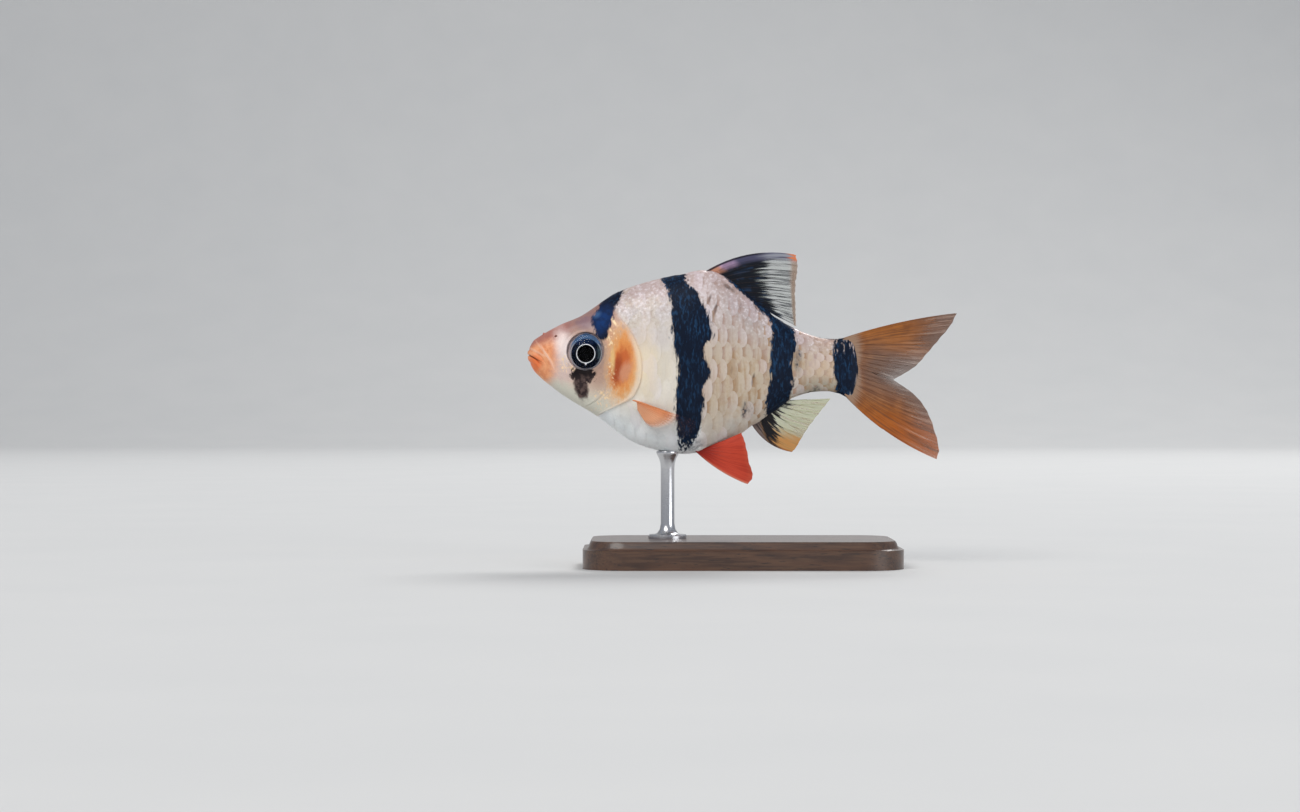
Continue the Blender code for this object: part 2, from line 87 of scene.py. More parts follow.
WAIST = [
    (0.0, 0.0), (0.157, -0.004), (0.30, -0.022), (0.46, -0.050), (0.65, -0.040), (0.85, -0.025),
    (0.972, -0.036),
]
BREADTH = [
    (0.0, 0.027), (0.05, 0.045), (0.157, 0.066), (0.263, 0.080), (0.40, 0.091), (0.50, 0.088), (0.62, 0.072),
    (0.793, 0.041), (0.92, 0.023), (0.972, 0.0175),
]
FULLNESS_ABOVE = [
    (0.0, 0.95), (0.10, 0.87), (0.22, 0.87), (0.38, 1.02), (0.60, 1.15), (0.80, 1.1), (0.972, 1.0),
]
FULLNESS_BELOW = [
    (0.0, 0.95), (0.12, 0.90), (0.25, 1.0), (0.45, 0.95), (0.65, 1.0), (0.80, 1.05), (0.972, 1.0),
]

# %% [markdown]
# A smooth curve through a few points stands for the line that a maker draws along a bent batten. A section is
# an oval, fuller or flatter above and below its waist, and closes at the snout and at the end of the stalk.
# With both, a place behind the snout and a turn round the body give one point of the fish's surface, and its
# near neighbours give the outward direction there.

# %% Curves and sections
NEAR = 1e-3


def curve_value(points, at):
    """Height at the place `at` of a smooth curve through (place, height) points."""
    places, heights = np.array(points, float).T
    widths = np.diff(places)
    slopes = np.diff(heights) / widths
    tangents = np.empty(len(places))
    tangents[1:-1] = (slopes[:-1] * widths[1:] + slopes[1:] * widths[:-1]) / (widths[:-1] + widths[1:])
    tangents[0], tangents[-1] = slopes[0], slopes[-1]
    span = np.clip(np.searchsorted(places, at) - 1, 0, len(places) - 2)
    width = widths[span]
    t = (np.asarray(at, float) - places[span]) / width
    start = (1 + 2 * t) * (1 - t) ** 2 * heights[span] + t * (1 - t) ** 2 * width * tangents[span]
    end = t * t * (3 - 2 * t) * heights[span + 1] + t * t * (t - 1) * width * tangents[span + 1]
    return start + end


def to_world(behind, up, out=0.0):
    """A place given as shares of the standard length, in metres. out is towards the left side."""
    x = (behind - MIDDLE) * STANDARD_LENGTH
    y, z = -out * STANDARD_LENGTH, MOUTH_HEIGHT + up * STANDARD_LENGTH
    return np.stack(np.broadcast_arrays(x, y, z), axis=-1)


def section(behind):
    """Back, belly, waist and half breadth of the body at one place, closed at the snout and the stalk."""
    snout = np.clip(1 - behind / SNOUT_ROUND, 0, 1)
    stalk = np.clip(1 - (STALK_END - behind) / STALK_ROUND, 0, 1)
    full = np.sqrt(np.clip(1 - snout**2, 0, 1)) * np.sqrt(np.clip(1 - stalk**2, 0, 1))
    waist = curve_value(WAIST, behind)
    back = waist + (curve_value(BACK, behind) - waist) * full
    belly = waist + (curve_value(BELLY, behind) - waist) * full
    return back, belly, waist, curve_value(BREADTH, behind) * full


def body_point(behind, turn):
    """A point of the body's surface. turn is 0 at the back, a quarter at the left side, half at the belly."""
    back, belly, waist, breadth = section(behind)
    above = np.cos(turn) > 0
    full = np.where(above, curve_value(FULLNESS_ABOVE, behind), curve_value(FULLNESS_BELOW, behind))
    rise = np.where(above, back - waist, waist - belly)
    return to_world(
        behind, waist + rise * np.cos(turn), breadth * np.sign(np.sin(turn)) * np.abs(np.sin(turn)) ** full
    )


def body_normal(behind, turn):
    """The outward direction at that point, from its neighbours."""
    along = body_point(behind + NEAR, turn) - body_point(behind - NEAR, turn)
    round_it = body_point(behind, turn + NEAR) - body_point(behind, turn - NEAR)
    normal = np.cross(round_it, along)
    return normal / np.maximum(np.linalg.norm(normal, axis=-1, keepdims=True), 1e-12)


def step_up(value, low, high):
    """0 below low, 1 above high and smooth between them."""
    t = np.clip((value - low) / (high - low), 0, 1)
    return t * t * (3 - 2 * t)


depth = max(height for _, height in BACK) - min(height for _, height in BELLY)
print("body depth", round(depth * STANDARD_LENGTH * 1000, 1), "mm")

# %% [markdown]
# Operators act on whatever is selected, so each piece starts with everything deselected. These few helpers
# open a fresh primitive for editing, pull a ring of faces on to the next ring, and read or set all points of
# a mesh at once, which is how a piece is settled on its exact shape after the operators have built it.


# %% Tools for modelling
def deselect():
    """Leaves edit mode and selects nothing."""
    if bpy.context.object is not None and bpy.context.object.mode != "OBJECT":
        bpy.ops.object.mode_set(mode="OBJECT")
    bpy.ops.object.select_all(action="DESELECT")


def opened(name):
    """Names the primitive that was just added and opens it in edit mode with all of it selected."""
    piece = bpy.context.object
    piece.name = piece.data.name = name
    bpy.ops.object.mode_set(mode="EDIT")
    bpy.ops.mesh.select_all(action="SELECT")
    return piece


def select_only(piece):
    """Selects one piece and makes it the active one."""
    deselect()
    piece.select_set(True)
    bpy.context.view_layer.objects.active = piece


def choose(piece, kind, test):
    """Opens a piece in edit mode with just those edges or faces selected that pass a test."""
    select_only(piece)
    bpy.context.tool_settings.mesh_select_mode = (False, kind == "EDGE", kind == "FACE")
    for group in (piece.data.vertices, piece.data.edges, piece.data.polygons):
        group.foreach_set("select", np.zeros(len(group), bool))
    for item in piece.data.edges if kind == "EDGE" else piece.data.polygons:
        item.select = bool(test(item))
    bpy.ops.object.mode_set(mode="EDIT")


def freeze(piece):
    """Puts a piece's place, turn and size into its points, and selects nothing."""
    select_only(piece)
    bpy.ops.object.transform_apply(location=True, rotation=True, scale=True)
    deselect()


def pull(shift, scale, centre):
    """Extrudes the selected faces by shift, then resizes them about centre."""
    bpy.ops.mesh.extrude_region_move(TRANSFORM_OT_translate={"value": shift})
    bpy.ops.transform.resize(value=scale, center_override=centre)


# %% [markdown]
# The operators build the faces, and numbers settle the form. All points of a piece can be read as one array,
# moved together and written back, which is far quicker and more exact than moving them one by one. A finished
# piece has its place in its mesh and hangs on the frame.


# %% Points, modifiers and finished pieces
def points_of(piece):
    """All points of a piece, as an array of x, y and z."""
    flat = np.empty(len(piece.data.vertices) * 3, np.float32)
    piece.data.vertices.foreach_get("co", flat)
    return flat.reshape(-1, 3).astype(float)


def set_points(piece, points):
    """Moves all points of a piece."""
    piece.data.vertices.foreach_set("co", np.asarray(points, np.float32).ravel())
    piece.data.update()


def normals_of(piece):
    """The outward direction at each point of a piece."""
    flat = np.empty(len(piece.data.vertices) * 3, np.float32)
    piece.data.vertex_normals.foreach_get("vector", flat)
    return flat.reshape(-1, 3).astype(float)


def give_map(piece, name, places):
    """Adds a UV map that gives each point its own place."""
    layer = piece.data.uv_layers.new(name=name)
    corners = np.empty(len(piece.data.loops), np.int32)
    piece.data.loops.foreach_get("vertex_index", corners)
    layer.data.foreach_set("uv", np.asarray(places, np.float32)[corners].ravel())


def apply_modifier(piece, kind, **settings):
    """Adds a modifier, sets it and applies it."""
    select_only(piece)
    made = piece.modifiers.new(kind.title(), kind)
    for key, value in settings.items():
        setattr(made, key, value)
    bpy.ops.object.modifier_apply(modifier=made.name)


def settled(piece, nodes=(), finish=None, angle=40):
    """Smooths a finished piece, puts its place in its mesh, gives it its finish and hangs it on the frame."""
    select_only(piece)
    bpy.ops.object.transform_apply(location=True, rotation=True, scale=True)
    bpy.ops.object.shade_smooth_by_angle(angle=math.radians(angle))
    if finish is not None:
        piece.data.materials.clear()
        piece.data.materials.append(finish)
    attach(piece, "root")
    if nodes:
        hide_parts(*nodes)
    print(piece.name, "has", len(piece.data.polygons), "faces")
    return piece


# %% [markdown]
# Finishes are built from nodes. A fish has no part in one flat colour, so the shaders need many small steps.
# Adding each node by hand would bury the recipe, so an output of a node is wrapped in a small class here: plus,
# minus and times then add the Math nodes by themselves, and a recipe reads like a sum. All patterns are worked
# out from the place on the fish, so nothing slides when the camera moves.


# %% Tools for finishes
LOW, SPAN = -0.32, 0.64


def level(up):
    """A height above the mouth as a number from 0 to 1, for the curve nodes."""
    return (up - LOW) / SPAN


class Output:
    """An output of a node. Sums, products and abs() of outputs add the Math nodes that work them out."""

    def __init__(self, socket):
        self.socket = socket
        self.tree = socket.id_data

    def __add__(self, other):
        return calculated("ADD", self, other)

    def __radd__(self, other):
        return calculated("ADD", other, self)

    def __sub__(self, other):
        return calculated("SUBTRACT", self, other)

    def __rsub__(self, other):
        return calculated("SUBTRACT", other, self)

    def __mul__(self, other):
        return calculated("MULTIPLY", self, other)

    def __truediv__(self, other):
        return calculated("DIVIDE", self, other)

    def __abs__(self):
        return calculated("ABSOLUTE", self)


def node(tree, kind, values=(), out=0, **settings):
    """Adds a node, fills its inputs with numbers, colours or outputs, and gives back one of its outputs."""
    made = tree.nodes.new("ShaderNode" + kind)
    for key, value in settings.items():
        setattr(made, key, value)
    for key, value in dict(values).items():
        if isinstance(value, Output):
            tree.links.new(value.socket, made.inputs[key])
        else:
            made.inputs[key].default_value = value
    return Output(made.outputs[out])


def all_of(output):
    """All outputs of the node that an output belongs to."""
    return [Output(socket) for socket in output.socket.node.outputs]


def tree_of(*values):
    """The tree that some values belong to. At least one of them is an output."""
    return next(value.tree for value in values if isinstance(value, Output))


def calculated(operation, *values):
    """A Math node."""
    return node(tree_of(*values), "Math", enumerate(values), operation=operation)


def vector_math(operation, *values, out=0):
    """A Vector Math node."""
    return node(tree_of(*values), "VectorMath", enumerate(values), out, operation=operation)


# %% [markdown]
# A share is a number from 0 to 1 that says how much of a paint lies at a place. A smooth step makes one from
# any measure, such as the height on the flank, and a curve node turns a line given as points into one. Two
# shares multiplied are 1 only where both are, and the largest of two joins them.


# %% Shares and curves
def most(*values):
    """The largest of some values."""
    made = values[0]
    for value in values[1:]:
        made = calculated("MAXIMUM", made, value)
    return made


def step(value, low, high):
    """0 at low, 1 at high and smooth between; low may be the larger one."""
    values = {"Value": value, "From Min": low, "From Max": high}
    return node(value.tree, "MapRange", values, interpolation_type="SMOOTHSTEP")


def span(value, low, high, start=0.0, end=1.0):
    """value from low to high turned into start to end, evenly, and held there outside."""
    return node(value.tree, "MapRange", enumerate((value, low, high, start, end)))


def blend(share, first, second):
    """A number that is first where share is 0 and second where it is 1."""
    return first + share * (second - first)


def curve(value, points):
    """The height of a smooth curve at value. All numbers are from 0 to 1."""
    made = node(value.tree, "FloatCurve", {"Value": value})
    mapping = made.socket.node.mapping
    mapping.extend = "HORIZONTAL"
    line = mapping.curves[0]
    for i, (place, height) in enumerate(sorted(points)):
        if i < 2:
            line.points[i].location = (place, height)
        else:
            line.points.new(place, height)
    mapping.update()
    return made


# %% [markdown]
# With shares, colours are laid over one another as glazes are. Noise keeps every edge alive, since no edge on a
# fish is clean. Most marks are ovals: a spot is full inside an oval, fades at its edge, and frays where noise
# is added to the distance from its centre.


# %% Colours, noise and spots
def mix(share, first, second, way="MIX"):
    """The first colour where share is 0 and the second where it is 1."""
    values = [(*value, 1.0) if isinstance(value, tuple) else value for value in (share, first, second)]
    return node(tree_of(*values), "Mix", zip((0, 6, 7), values), 2, data_type="RGBA", blend_type=way)


def shaded(colour, light):
    """A colour made darker or lighter by a value that is about 1."""
    return mix(1.0, colour, node(light.tree, "CombineColor", enumerate((light,) * 3)), "MULTIPLY")


def noise(vector, size, detail=2.0, stretch=(1, 1, 1), rough=0.5, seed=0.0):
    """Cloudy noise from 0 to 1 with spots about size metres across, longer where stretch is larger."""
    place = vector_math("MULTIPLY", vector, tuple(1 / s for s in stretch))
    place = vector_math("ADD", place, (seed, seed, seed))
    values = {"Vector": place, "Scale": 1 / size, "Detail": detail, "Roughness": rough}
    return node(vector.tree, "TexNoise", values)


def joined(*values):
    """A vector made of three values."""
    return node(tree_of(*values), "CombineXYZ", enumerate(values))


def parts(vector):
    """The three values of a vector."""
    return all_of(node(vector.tree, "SeparateXYZ", {0: vector}))


def shares(place):
    """How far behind the snout, above the mouth and out from the middle a place is."""
    x, y, z = parts(place)
    behind = x * (1 / STANDARD_LENGTH) + MIDDLE
    up = (z - MOUTH_HEIGHT) * (1 / STANDARD_LENGTH)
    return behind, up, abs(y) * (1 / STANDARD_LENGTH)


def spot(behind, up, centre, reach, tilt=0.0, soft=0.3, wobble=0.0):
    """1 inside an oval of that reach round centre, 0 outside, with a soft and maybe wobbly edge."""
    cos, sin = math.cos(math.radians(tilt)), math.sin(math.radians(tilt))
    dx, dz = behind - centre[0], up - centre[1]
    a = (dx * cos + dz * sin) * (1 / reach[0])
    b = (dz * cos - dx * sin) * (1 / reach[1])
    far = calculated("SQRT", a * a + b * b)
    return step(far + wobble, 1 + soft, 1 - soft)


# %% [markdown]
# A finish is a material with one main shader. What is the same all over is set on the shader's own sockets, and
# only what changes from place to place is joined to nodes.


# %% A finish
def finish_of(name, **constants):
    """A new material, its main shader with constants on its own sockets, and the place on the piece."""
    made = bpy.data.materials.new(name)
    made.use_nodes = True
    shader = made.node_tree.nodes["Principled BSDF"]
    for key, value in constants.items():
        shader.inputs[key.replace("_", " ")].default_value = value
    return made, shader, node(made.node_tree, "TexCoord", out="Object")


def wire(shader, **outputs):
    """Joins outputs of nodes to the shader's sockets."""
    for key, value in outputs.items():
        value.tree.links.new(value.socket, shader.inputs[key.replace("_", " ")])


def bump(height, distance, strength):
    """A bump of that height in metres."""
    return node(height.tree, "Bump", {"Height": height, "Distance": distance, "Strength": strength})


print("0 on the curve nodes is", LOW, "and 1 is", LOW + SPAN, "of the standard length above the mouth")

# %% [markdown]
# The markings come first, because skin, scales and fin bases all share them. The barb's four blue-black bars
# are drawn as the room between two curves: the front edge and the rear edge of each bar, as a place behind
# the snout for every height. Noise frays the edges. Round them lie the ground colours: orange lips, a pink
# crown, pale cheeks, a white breast, a cream flank, and the orange patch with gold flecks on the gill cover,
# where the gills show through. A bar is dark scale by scale, so the group also takes the middle of the scale
# that it colours, and the bar's edge steps a little from scale to scale.

# %% Edges of the bars
BARS = {
    "second": (
        [(0.403, 0.229), (0.424, 0.192), (0.430, 0.168), (0.433, 0.108), (0.436, 0.047), (0.441, 0.017),
         (0.450, -0.014), (0.451, -0.074), (0.445, -0.135), (0.445, -0.195), (0.452, -0.247), (0.460, -0.290)],
        [(0.479, 0.241), (0.491, 0.208), (0.512, 0.192), (0.524, 0.168), (0.539, 0.138), (0.552, 0.102),
         (0.558, 0.077), (0.557, 0.050), (0.541, 0.038), (0.537, -0.012), (0.546, -0.028), (0.548, -0.074),
         (0.535, -0.090), (0.533, -0.135), (0.530, -0.165), (0.526, -0.197), (0.515, -0.237), (0.502, -0.268),
         (0.485, -0.290)],
    ),
    "third": (
        [(0.560, 0.262), (0.612, 0.222), (0.642, 0.192), (0.673, 0.165), (0.703, 0.132), (0.727, 0.112),
         (0.735, 0.077), (0.733, 0.017), (0.730, -0.044), (0.727, -0.089), (0.721, -0.120), (0.718, -0.150),
         (0.721, -0.195)],
        [(0.745, 0.240), (0.788, 0.120), (0.803, 0.089), (0.810, 0.062), (0.812, 0.032), (0.802, -0.014),
         (0.803, -0.059), (0.800, -0.105), (0.794, -0.129), (0.780, -0.165)],
    ),
    "fourth": (
        [(0.933, 0.070), (0.921, 0.017), (0.924, -0.044), (0.933, -0.120)],
        [(0.980, 0.056), (0.985, 0.036), (0.997, 0.010), (1.002, -0.038), (0.998, -0.074), (0.986, -0.105),
         (0.970, -0.129)],
    ),
}
HEAD_BAR = (
    [(0.262, 0.215), (0.243, 0.190), (0.225, 0.168), (0.211, 0.138), (0.195, 0.110), (0.194, 0.090),
     (0.204, 0.073), (0.212, 0.045)],
    [(0.304, 0.225), (0.293, 0.200), (0.279, 0.168), (0.264, 0.138), (0.256, 0.108), (0.253, 0.090),
     (0.245, 0.075), (0.237, 0.045)],
)
EYE_CENTRE, ORBIT_RADIUS = (0.1755, 0.0125), 2.80 * MM
GILL_EDGE = [
    (0.262, 0.245), (0.2506, 0.179), (0.268, 0.130), (0.308, 0.076), (0.3385, 0.009), (0.3445, -0.052),
    (0.332, -0.100), (0.308, -0.133), (0.263, -0.155), (0.217, -0.179), (0.175, -0.225),
]
CREAM, WARM, LILAC = (0.56, 0.46, 0.345), (0.46, 0.30, 0.17), (0.52, 0.46, 0.46)
WHITE, SILVER, PINK = (0.83, 0.77, 0.67), (0.92, 0.97, 0.98), (0.56, 0.42, 0.40)
NAVY, BLUE = (0.003, 0.008, 0.022), (0.012, 0.05, 0.12)
SCALE_STEP = 0.1


def upright(points):
    """An edge as points for a curve node: height first, then the place behind the snout."""
    return [(level(up), behind) for behind, up in points]


print(len(BARS) + 1, "bars on each side")

# %% [markdown]
# The paint goes on in the order a painter takes: first the ground over the whole fish, then the head with its
# lips, cheeks and gill patch, then the black, and a few short strokes last. Each layer covers the one below by
# a share from 0 to 1. All of it sits in one node group, so that the skin and the scales on it always agree.


# %% Ground colours
def mark_ground(place, behind, up):
    """The fish's ground colours without its bars."""
    back = span(curve(behind, [(b, level(u)) for b, u in BACK]), 0, 1, LOW, LOW + SPAN)
    belly = span(curve(behind, [(b, level(u)) for b, u in BELLY]), 0, 1, LOW, LOW + SPAN)
    rel = (up - belly) / (back - belly)
    cloud = noise(place, 3.0 * MM, 3.0)
    fine = noise(place, 0.7 * MM, 3.0, seed=0.3)
    drift = (cloud - 0.5) * 0.1
    near = behind + drift

    colour = mix(step(near, 0.42, 0.56), WHITE, CREAM)
    colour = mix(step(near, 0.52, 0.62) * step(fine, 0.42, 0.75) * 0.55, colour, WARM)
    colour = mix(step(rel, 0.45, 0.85) * 0.75, colour, LILAC)
    colour = mix(step(rel + drift, 0.8, 0.99) * 0.85, colour, PINK)
    ahead = 1.0 - step(near, 0.49, 0.56) * 0.8
    colour = mix(step(rel + drift, 0.26, 0.05) * ahead * 0.85, colour, SILVER)
    colour = mix(step(behind, 0.8, 0.9) * 0.45, colour, (0.64, 0.45, 0.3))
    colour = mix(step(behind, 0.955, 0.985) * 0.85, colour, (0.26, 0.18, 0.14))
    under = step(behind, 0.78, 0.86) * step(rel + drift, 0.34, 0.08)
    colour = mix(under * 0.75, colour, (0.36, 0.33, 0.25))
    mottle = step(cloud, 0.4, 0.68) * step(rel, 0.36, 0.12) * 0.22
    colour = mix(mottle, colour, (0.35, 0.42, 0.47))
    haze = step(cloud, 0.54, 0.4) * step(near, 0.5, 0.4) * step(rel, 0.15, 0.35) * 0.3
    colour = mix(haze, colour, (0.6, 0.5, 0.34))
    uneven = (fine - 0.5) * 0.9
    for centre, reach, tilt, paint, share in (
        ((0.372, 0.046), (0.05, 0.024), -12, (0.5, 0.43, 0.45), 0.3),
        # painted shade along the foot of the back fin
        ((0.65, 0.14), (0.064, 0.028), -36, (0.33, 0.27, 0.27), 0.42),
        # a painted pool of light on the flank just behind the second bar
        ((0.546, 0.178), (0.024, 0.072), 26, (0.82, 0.71, 0.71), 0.5),
    ):
        veil = spot(behind, up, centre, reach, tilt, 0.9, uneven)
        colour = mix(veil * share, colour, paint)
    high = step(rel, 0.56, 0.9)
    sparkle = noise(place, 0.42 * MM, 2.0, seed=8.0)
    colour = mix(high * step(sparkle, 0.52, 0.66) * 0.45, colour, (0.88, 0.82, 0.84))
    colour = mix(high * step(sparkle, 0.46, 0.34) * 0.38, colour, (0.4, 0.25, 0.2))
    return colour, rel, fine, cloud


# %% [markdown]
# The head is painted over the ground, from large to small: cheeks, throat and crown, the orange snout with its
# lips, painted shade in the slit of the mouth and painted highlights along the folds of the jaws, then the gill
# patch in four zones that grow deeper inwards, since the red gills show through the thin cover there, with a
# painted highlight on its deep red middle. Small gold flecks and pearls come last, as the skin throws them back
# in the light, with a painted golden highlight at the front edge of the gill patch.


# %% Colours of the head
def mark_head(place, behind, up, height, colour, rel, fine, cloud):
    """Paints the head over the ground: cheeks, crown, lips, the gill patch and its gold flecks."""
    gill = curve(height, upright(GILL_EDGE))
    head = step(gill - behind, -0.01, 0.012)
    wobble = (fine - 0.5) * 0.55
    cheek = mix(step(fine, 0.3, 0.7), (0.7, 0.52, 0.42), (0.58, 0.4, 0.33))
    cheek = mix(step(behind, 0.15, 0.115) * 0.6, cheek, (0.74, 0.58, 0.54))
    cheek = mix(step(up, -0.05, -0.135), cheek, (0.74, 0.62, 0.5))
    for centre, reach, tilt, paint, share in (
        ((0.218, -0.05), (0.036, 0.06), 0, (0.36, 0.2, 0.135), 0.6),
        ((0.258, 0.05), (0.036, 0.062), 10, (0.66, 0.31, 0.135), 0.62),
    ):
        cheek = mix(spot(behind, up, centre, reach, tilt, 0.8, wobble) * share, cheek, paint)
    colour = mix(head, colour, cheek)
    orbit = spot(behind, up, EYE_CENTRE, (0.0665, 0.0665), 0, 0.1)
    colour = mix(orbit * step(behind, 0.15, 0.2) * 0.6, colour, (0.36, 0.25, 0.2))
    throat = step(rel + wobble * 0.2, 0.26, 0.08)
    colour = mix(head * throat * step(behind, 0.03, 0.1), colour, (0.66, 0.64, 0.54))
    crown = head * step(rel + wobble * 0.2, 0.72, 0.95)
    colour = mix(crown * 0.85, colour, mix(step(fine, 0.35, 0.65), (0.25, 0.12, 0.11), (0.35, 0.175, 0.135)))

    smudge = spot(behind, up, (0.182, 0.1), (0.034, 0.022), 10, 0.6, wobble)
    colour = mix(smudge * 0.6, colour, (0.22, 0.14, 0.19))
    ahead = behind + wobble * 0.05 - up * 0.18
    snout = step(ahead, 0.114, 0.066) * step(up - behind * 0.4, -0.13, -0.085)
    orange = mix(step(fine, 0.35, 0.65), (0.87, 0.37, 0.165), (0.78, 0.26, 0.09))
    colour = mix(snout * 0.92, colour, orange)
    top = step(behind, 0.15, 0.1) * step(rel + wobble * 0.15, 0.68, 0.93)
    colour = mix(top * 0.8, colour, (0.36, 0.135, 0.125))
    white = spot(behind, up, (0.108, 0.03), (0.022, 0.046), 16, 0.8, wobble * 0.9)
    colour = mix(white * 0.75, colour, (0.95, 0.83, 0.79))
    jaw = spot(behind, up, (0.016, -0.03), (0.022, 0.032), -35, 0.45, wobble)
    colour = mix(jaw * 0.85, colour, (0.8, 0.17, 0.045))
    # Painted shade: a dark line along the slit of the mouth, where the gap between the lips lies in shade.
    slit = spot(behind, up, (0.02, -0.008), (0.024, 0.0022), -28, 0.5)
    colour = mix(slit * 0.75, colour, (0.2, 0.045, 0.02))
    # Painted highlights: pale lines along the folds of the jaws, where light catches their ridges.
    for centre, reach, tilt in (
        ((0.026, 0.0115), (0.034, 0.0035), -27),
        ((0.054, 0.006), (0.042, 0.0035), -52),
        ((0.068, -0.016), (0.046, 0.003), -60),
    ):
        fold = spot(behind, up, centre, reach, tilt, 0.6, wobble * 0.8)
        colour = mix(fold * 0.42, colour, (0.93, 0.62, 0.46))

    gills = noise(place, 0.3 * MM, 3.0, (1, 1, 3.0), seed=3.0)
    for centre, reach, tilt, soft, paint, share in (
        ((0.296, -0.03), (0.051, 0.116), -6, 0.4, (0.78, 0.42, 0.15), 0.85),
        ((0.291, -0.024), (0.037, 0.088), -6, 0.36, (0.76, 0.27, 0.065), 0.88),
        ((0.282, -0.034), (0.027, 0.058), -16, 0.4, (0.56, 0.115, 0.028), 0.88),
        ((0.272, -0.044), (0.013, 0.04), -8, 0.5, (0.34, 0.055, 0.015), 0.8),
        # a painted highlight on the deep red middle of the patch
        ((0.296, -0.05), (0.016, 0.03), -20, 0.5, (0.66, 0.3, 0.17), 0.82),
    ):
        rough = wobble * 0.9 + (gills - 0.5) * 0.7
        patch = spot(behind, up, centre, reach, tilt, soft, rough)
        colour = mix(patch * head * share, colour, paint)
    rim = step(gill - behind, 0.022, 0.004) * head * step(up, 0.1, 0.03)
    colour = mix(rim * step(up, -0.16, -0.12) * 0.75, colour, (0.86, 0.74, 0.6))

    beyond = spot(behind, up, (0.358, -0.022), (0.03, 0.085), 0, 0.8, wobble)
    colour = mix(beyond * 0.5, colour, (0.92, 0.74, 0.48))

    flecks = step(noise(place, 0.24 * MM, 2.0, (1, 1, 1.8), seed=6.0), 0.55, 0.64)
    fields = (
        ((0.25, 0.012), (0.013, 0.11), 4),
        ((0.262, 0.066), (0.036, 0.02), 40),
        ((0.215, -0.135), (0.04, 0.026), 20),
        ((0.112, -0.022), (0.016, 0.03), 0),
        ((0.146, -0.04), (0.012, 0.018), 40),
    )
    field = most(*(spot(behind, up, *place_of, 0.5, wobble * 0.6) for place_of in fields))
    gold = flecks * field * step(cloud, 0.36, 0.48)
    for centre, reach, tilt in (
        ((0.2242, -0.1136), (0.0044, 0.005), 0),
        ((0.2348, -0.1288), (0.0034, 0.0042), 0),
        ((0.1076, -0.0121), (0.0036, 0.004), 0),
        ((0.1061, -0.0379), (0.0034, 0.0034), 0),
        ((0.1364, -0.042), (0.011, 0.0028), -45),
        ((0.2606, 0.1015), (0.015, 0.0036), -58),
        ((0.235, 0.058), (0.015, 0.0034), -60),
        ((0.249, 0.078), (0.01, 0.003), -50),
    ):
        pearl = spot(behind, up, centre, reach, tilt, 0.6, wobble * 0.8)
        gold = most(gold, pearl * 0.95)
    # Painted highlight: a pale golden streak at the front edge of the gill patch.
    glow = spot(behind, up, (0.2576, -0.016), (0.006, 0.034), 0, 0.8, wobble * 0.9)
    colour = mix(glow * 0.6, colour, (0.84, 0.64, 0.28))
    colour = mix(gold, colour, (0.95, 0.7, 0.42))
    return colour, head, gold, wobble


# %% [markdown]
# A bar is dark where a place lies behind its front edge and ahead of its rear edge. Both edges are compared
# with a place that noise has shifted a little, so they fray into short upright hairs. The largest of all shares
# joins the bars, the patch under the eye and the stray specks.


# %% Bars, specks and strokes
def mark_dark(place, behind, up, height, wobble):
    """The share of black: the bars, the patch under the eye and a few stray specks."""
    streak = noise(place, 0.34 * MM, 3.0, (1, 1, 4.0), seed=0.7)
    fray = (streak - 0.5) * 0.034
    x = behind + fray
    dark = None
    for name, (front, rear) in BARS.items():
        start = curve(height, upright(front))
        end = curve(height, upright(rear))
        bar = step(x - start, -0.004, 0.006) * step(end - x, -0.004, 0.006)
        if name == "second":
            foot = up + (streak - 0.5) * 0.16
            bar = bar * step(foot, -0.305, -0.262)
        if name == "third":
            bar = bar * step(behind, 0.55, 0.62)
        if name == "fourth":
            gaps = step(streak, 0.55, 0.7) * step(up, -0.02, 0.03) * 0.8
            bar = bar * (1.0 - gaps)
        dark = bar if dark is None else most(dark, bar)
    x = behind + (streak - 0.5) * 0.026 + wobble * 0.016
    start, end = (curve(height, upright(edge)) for edge in HEAD_BAR)
    head_bar = step(x - start, -0.006, 0.006) * step(end - x, -0.005, 0.005) * step(up, 0.04, 0.05)
    specks = step(noise(place, 0.35 * MM, 2.0, (1, 1, 2.2), seed=1.1), 0.46, 0.6)
    for centre, reach, tilt, soft, share in (
        ((0.654, -0.165), (0.009, 0.024), -8, 0.6, 0.9),
        ((0.672, -0.165), (0.016, 0.02), 0, 0.7, 0.4),
        ((0.872, -0.1), (0.013, 0.008), 0, 0.5, 0.55),
        ((0.49, -0.27), (0.04, 0.018), 0, 0.6, 0.55),
        ((0.815, -0.012), (0.0095, 0.036), 0, 0.8, 1.0),
    ):
        patch = spot(behind, up, centre, reach, tilt, soft, wobble * 1.2)
        dark = most(dark, patch * (0.45 + specks * 0.55) * share)
    under_eye = most(
        spot(behind, up, (0.168, -0.06), (0.037, 0.024), -8, 0.22, (specks - 0.5) * 0.3),
        spot(behind, up, (0.162, -0.092), (0.021, 0.042), 12, 0.4, wobble * 1.2) * 0.95,
    )
    under_eye = step(under_eye + (specks - 1.0) * 0.08, 0.05, 0.82)
    return dark, head_bar, streak, under_eye


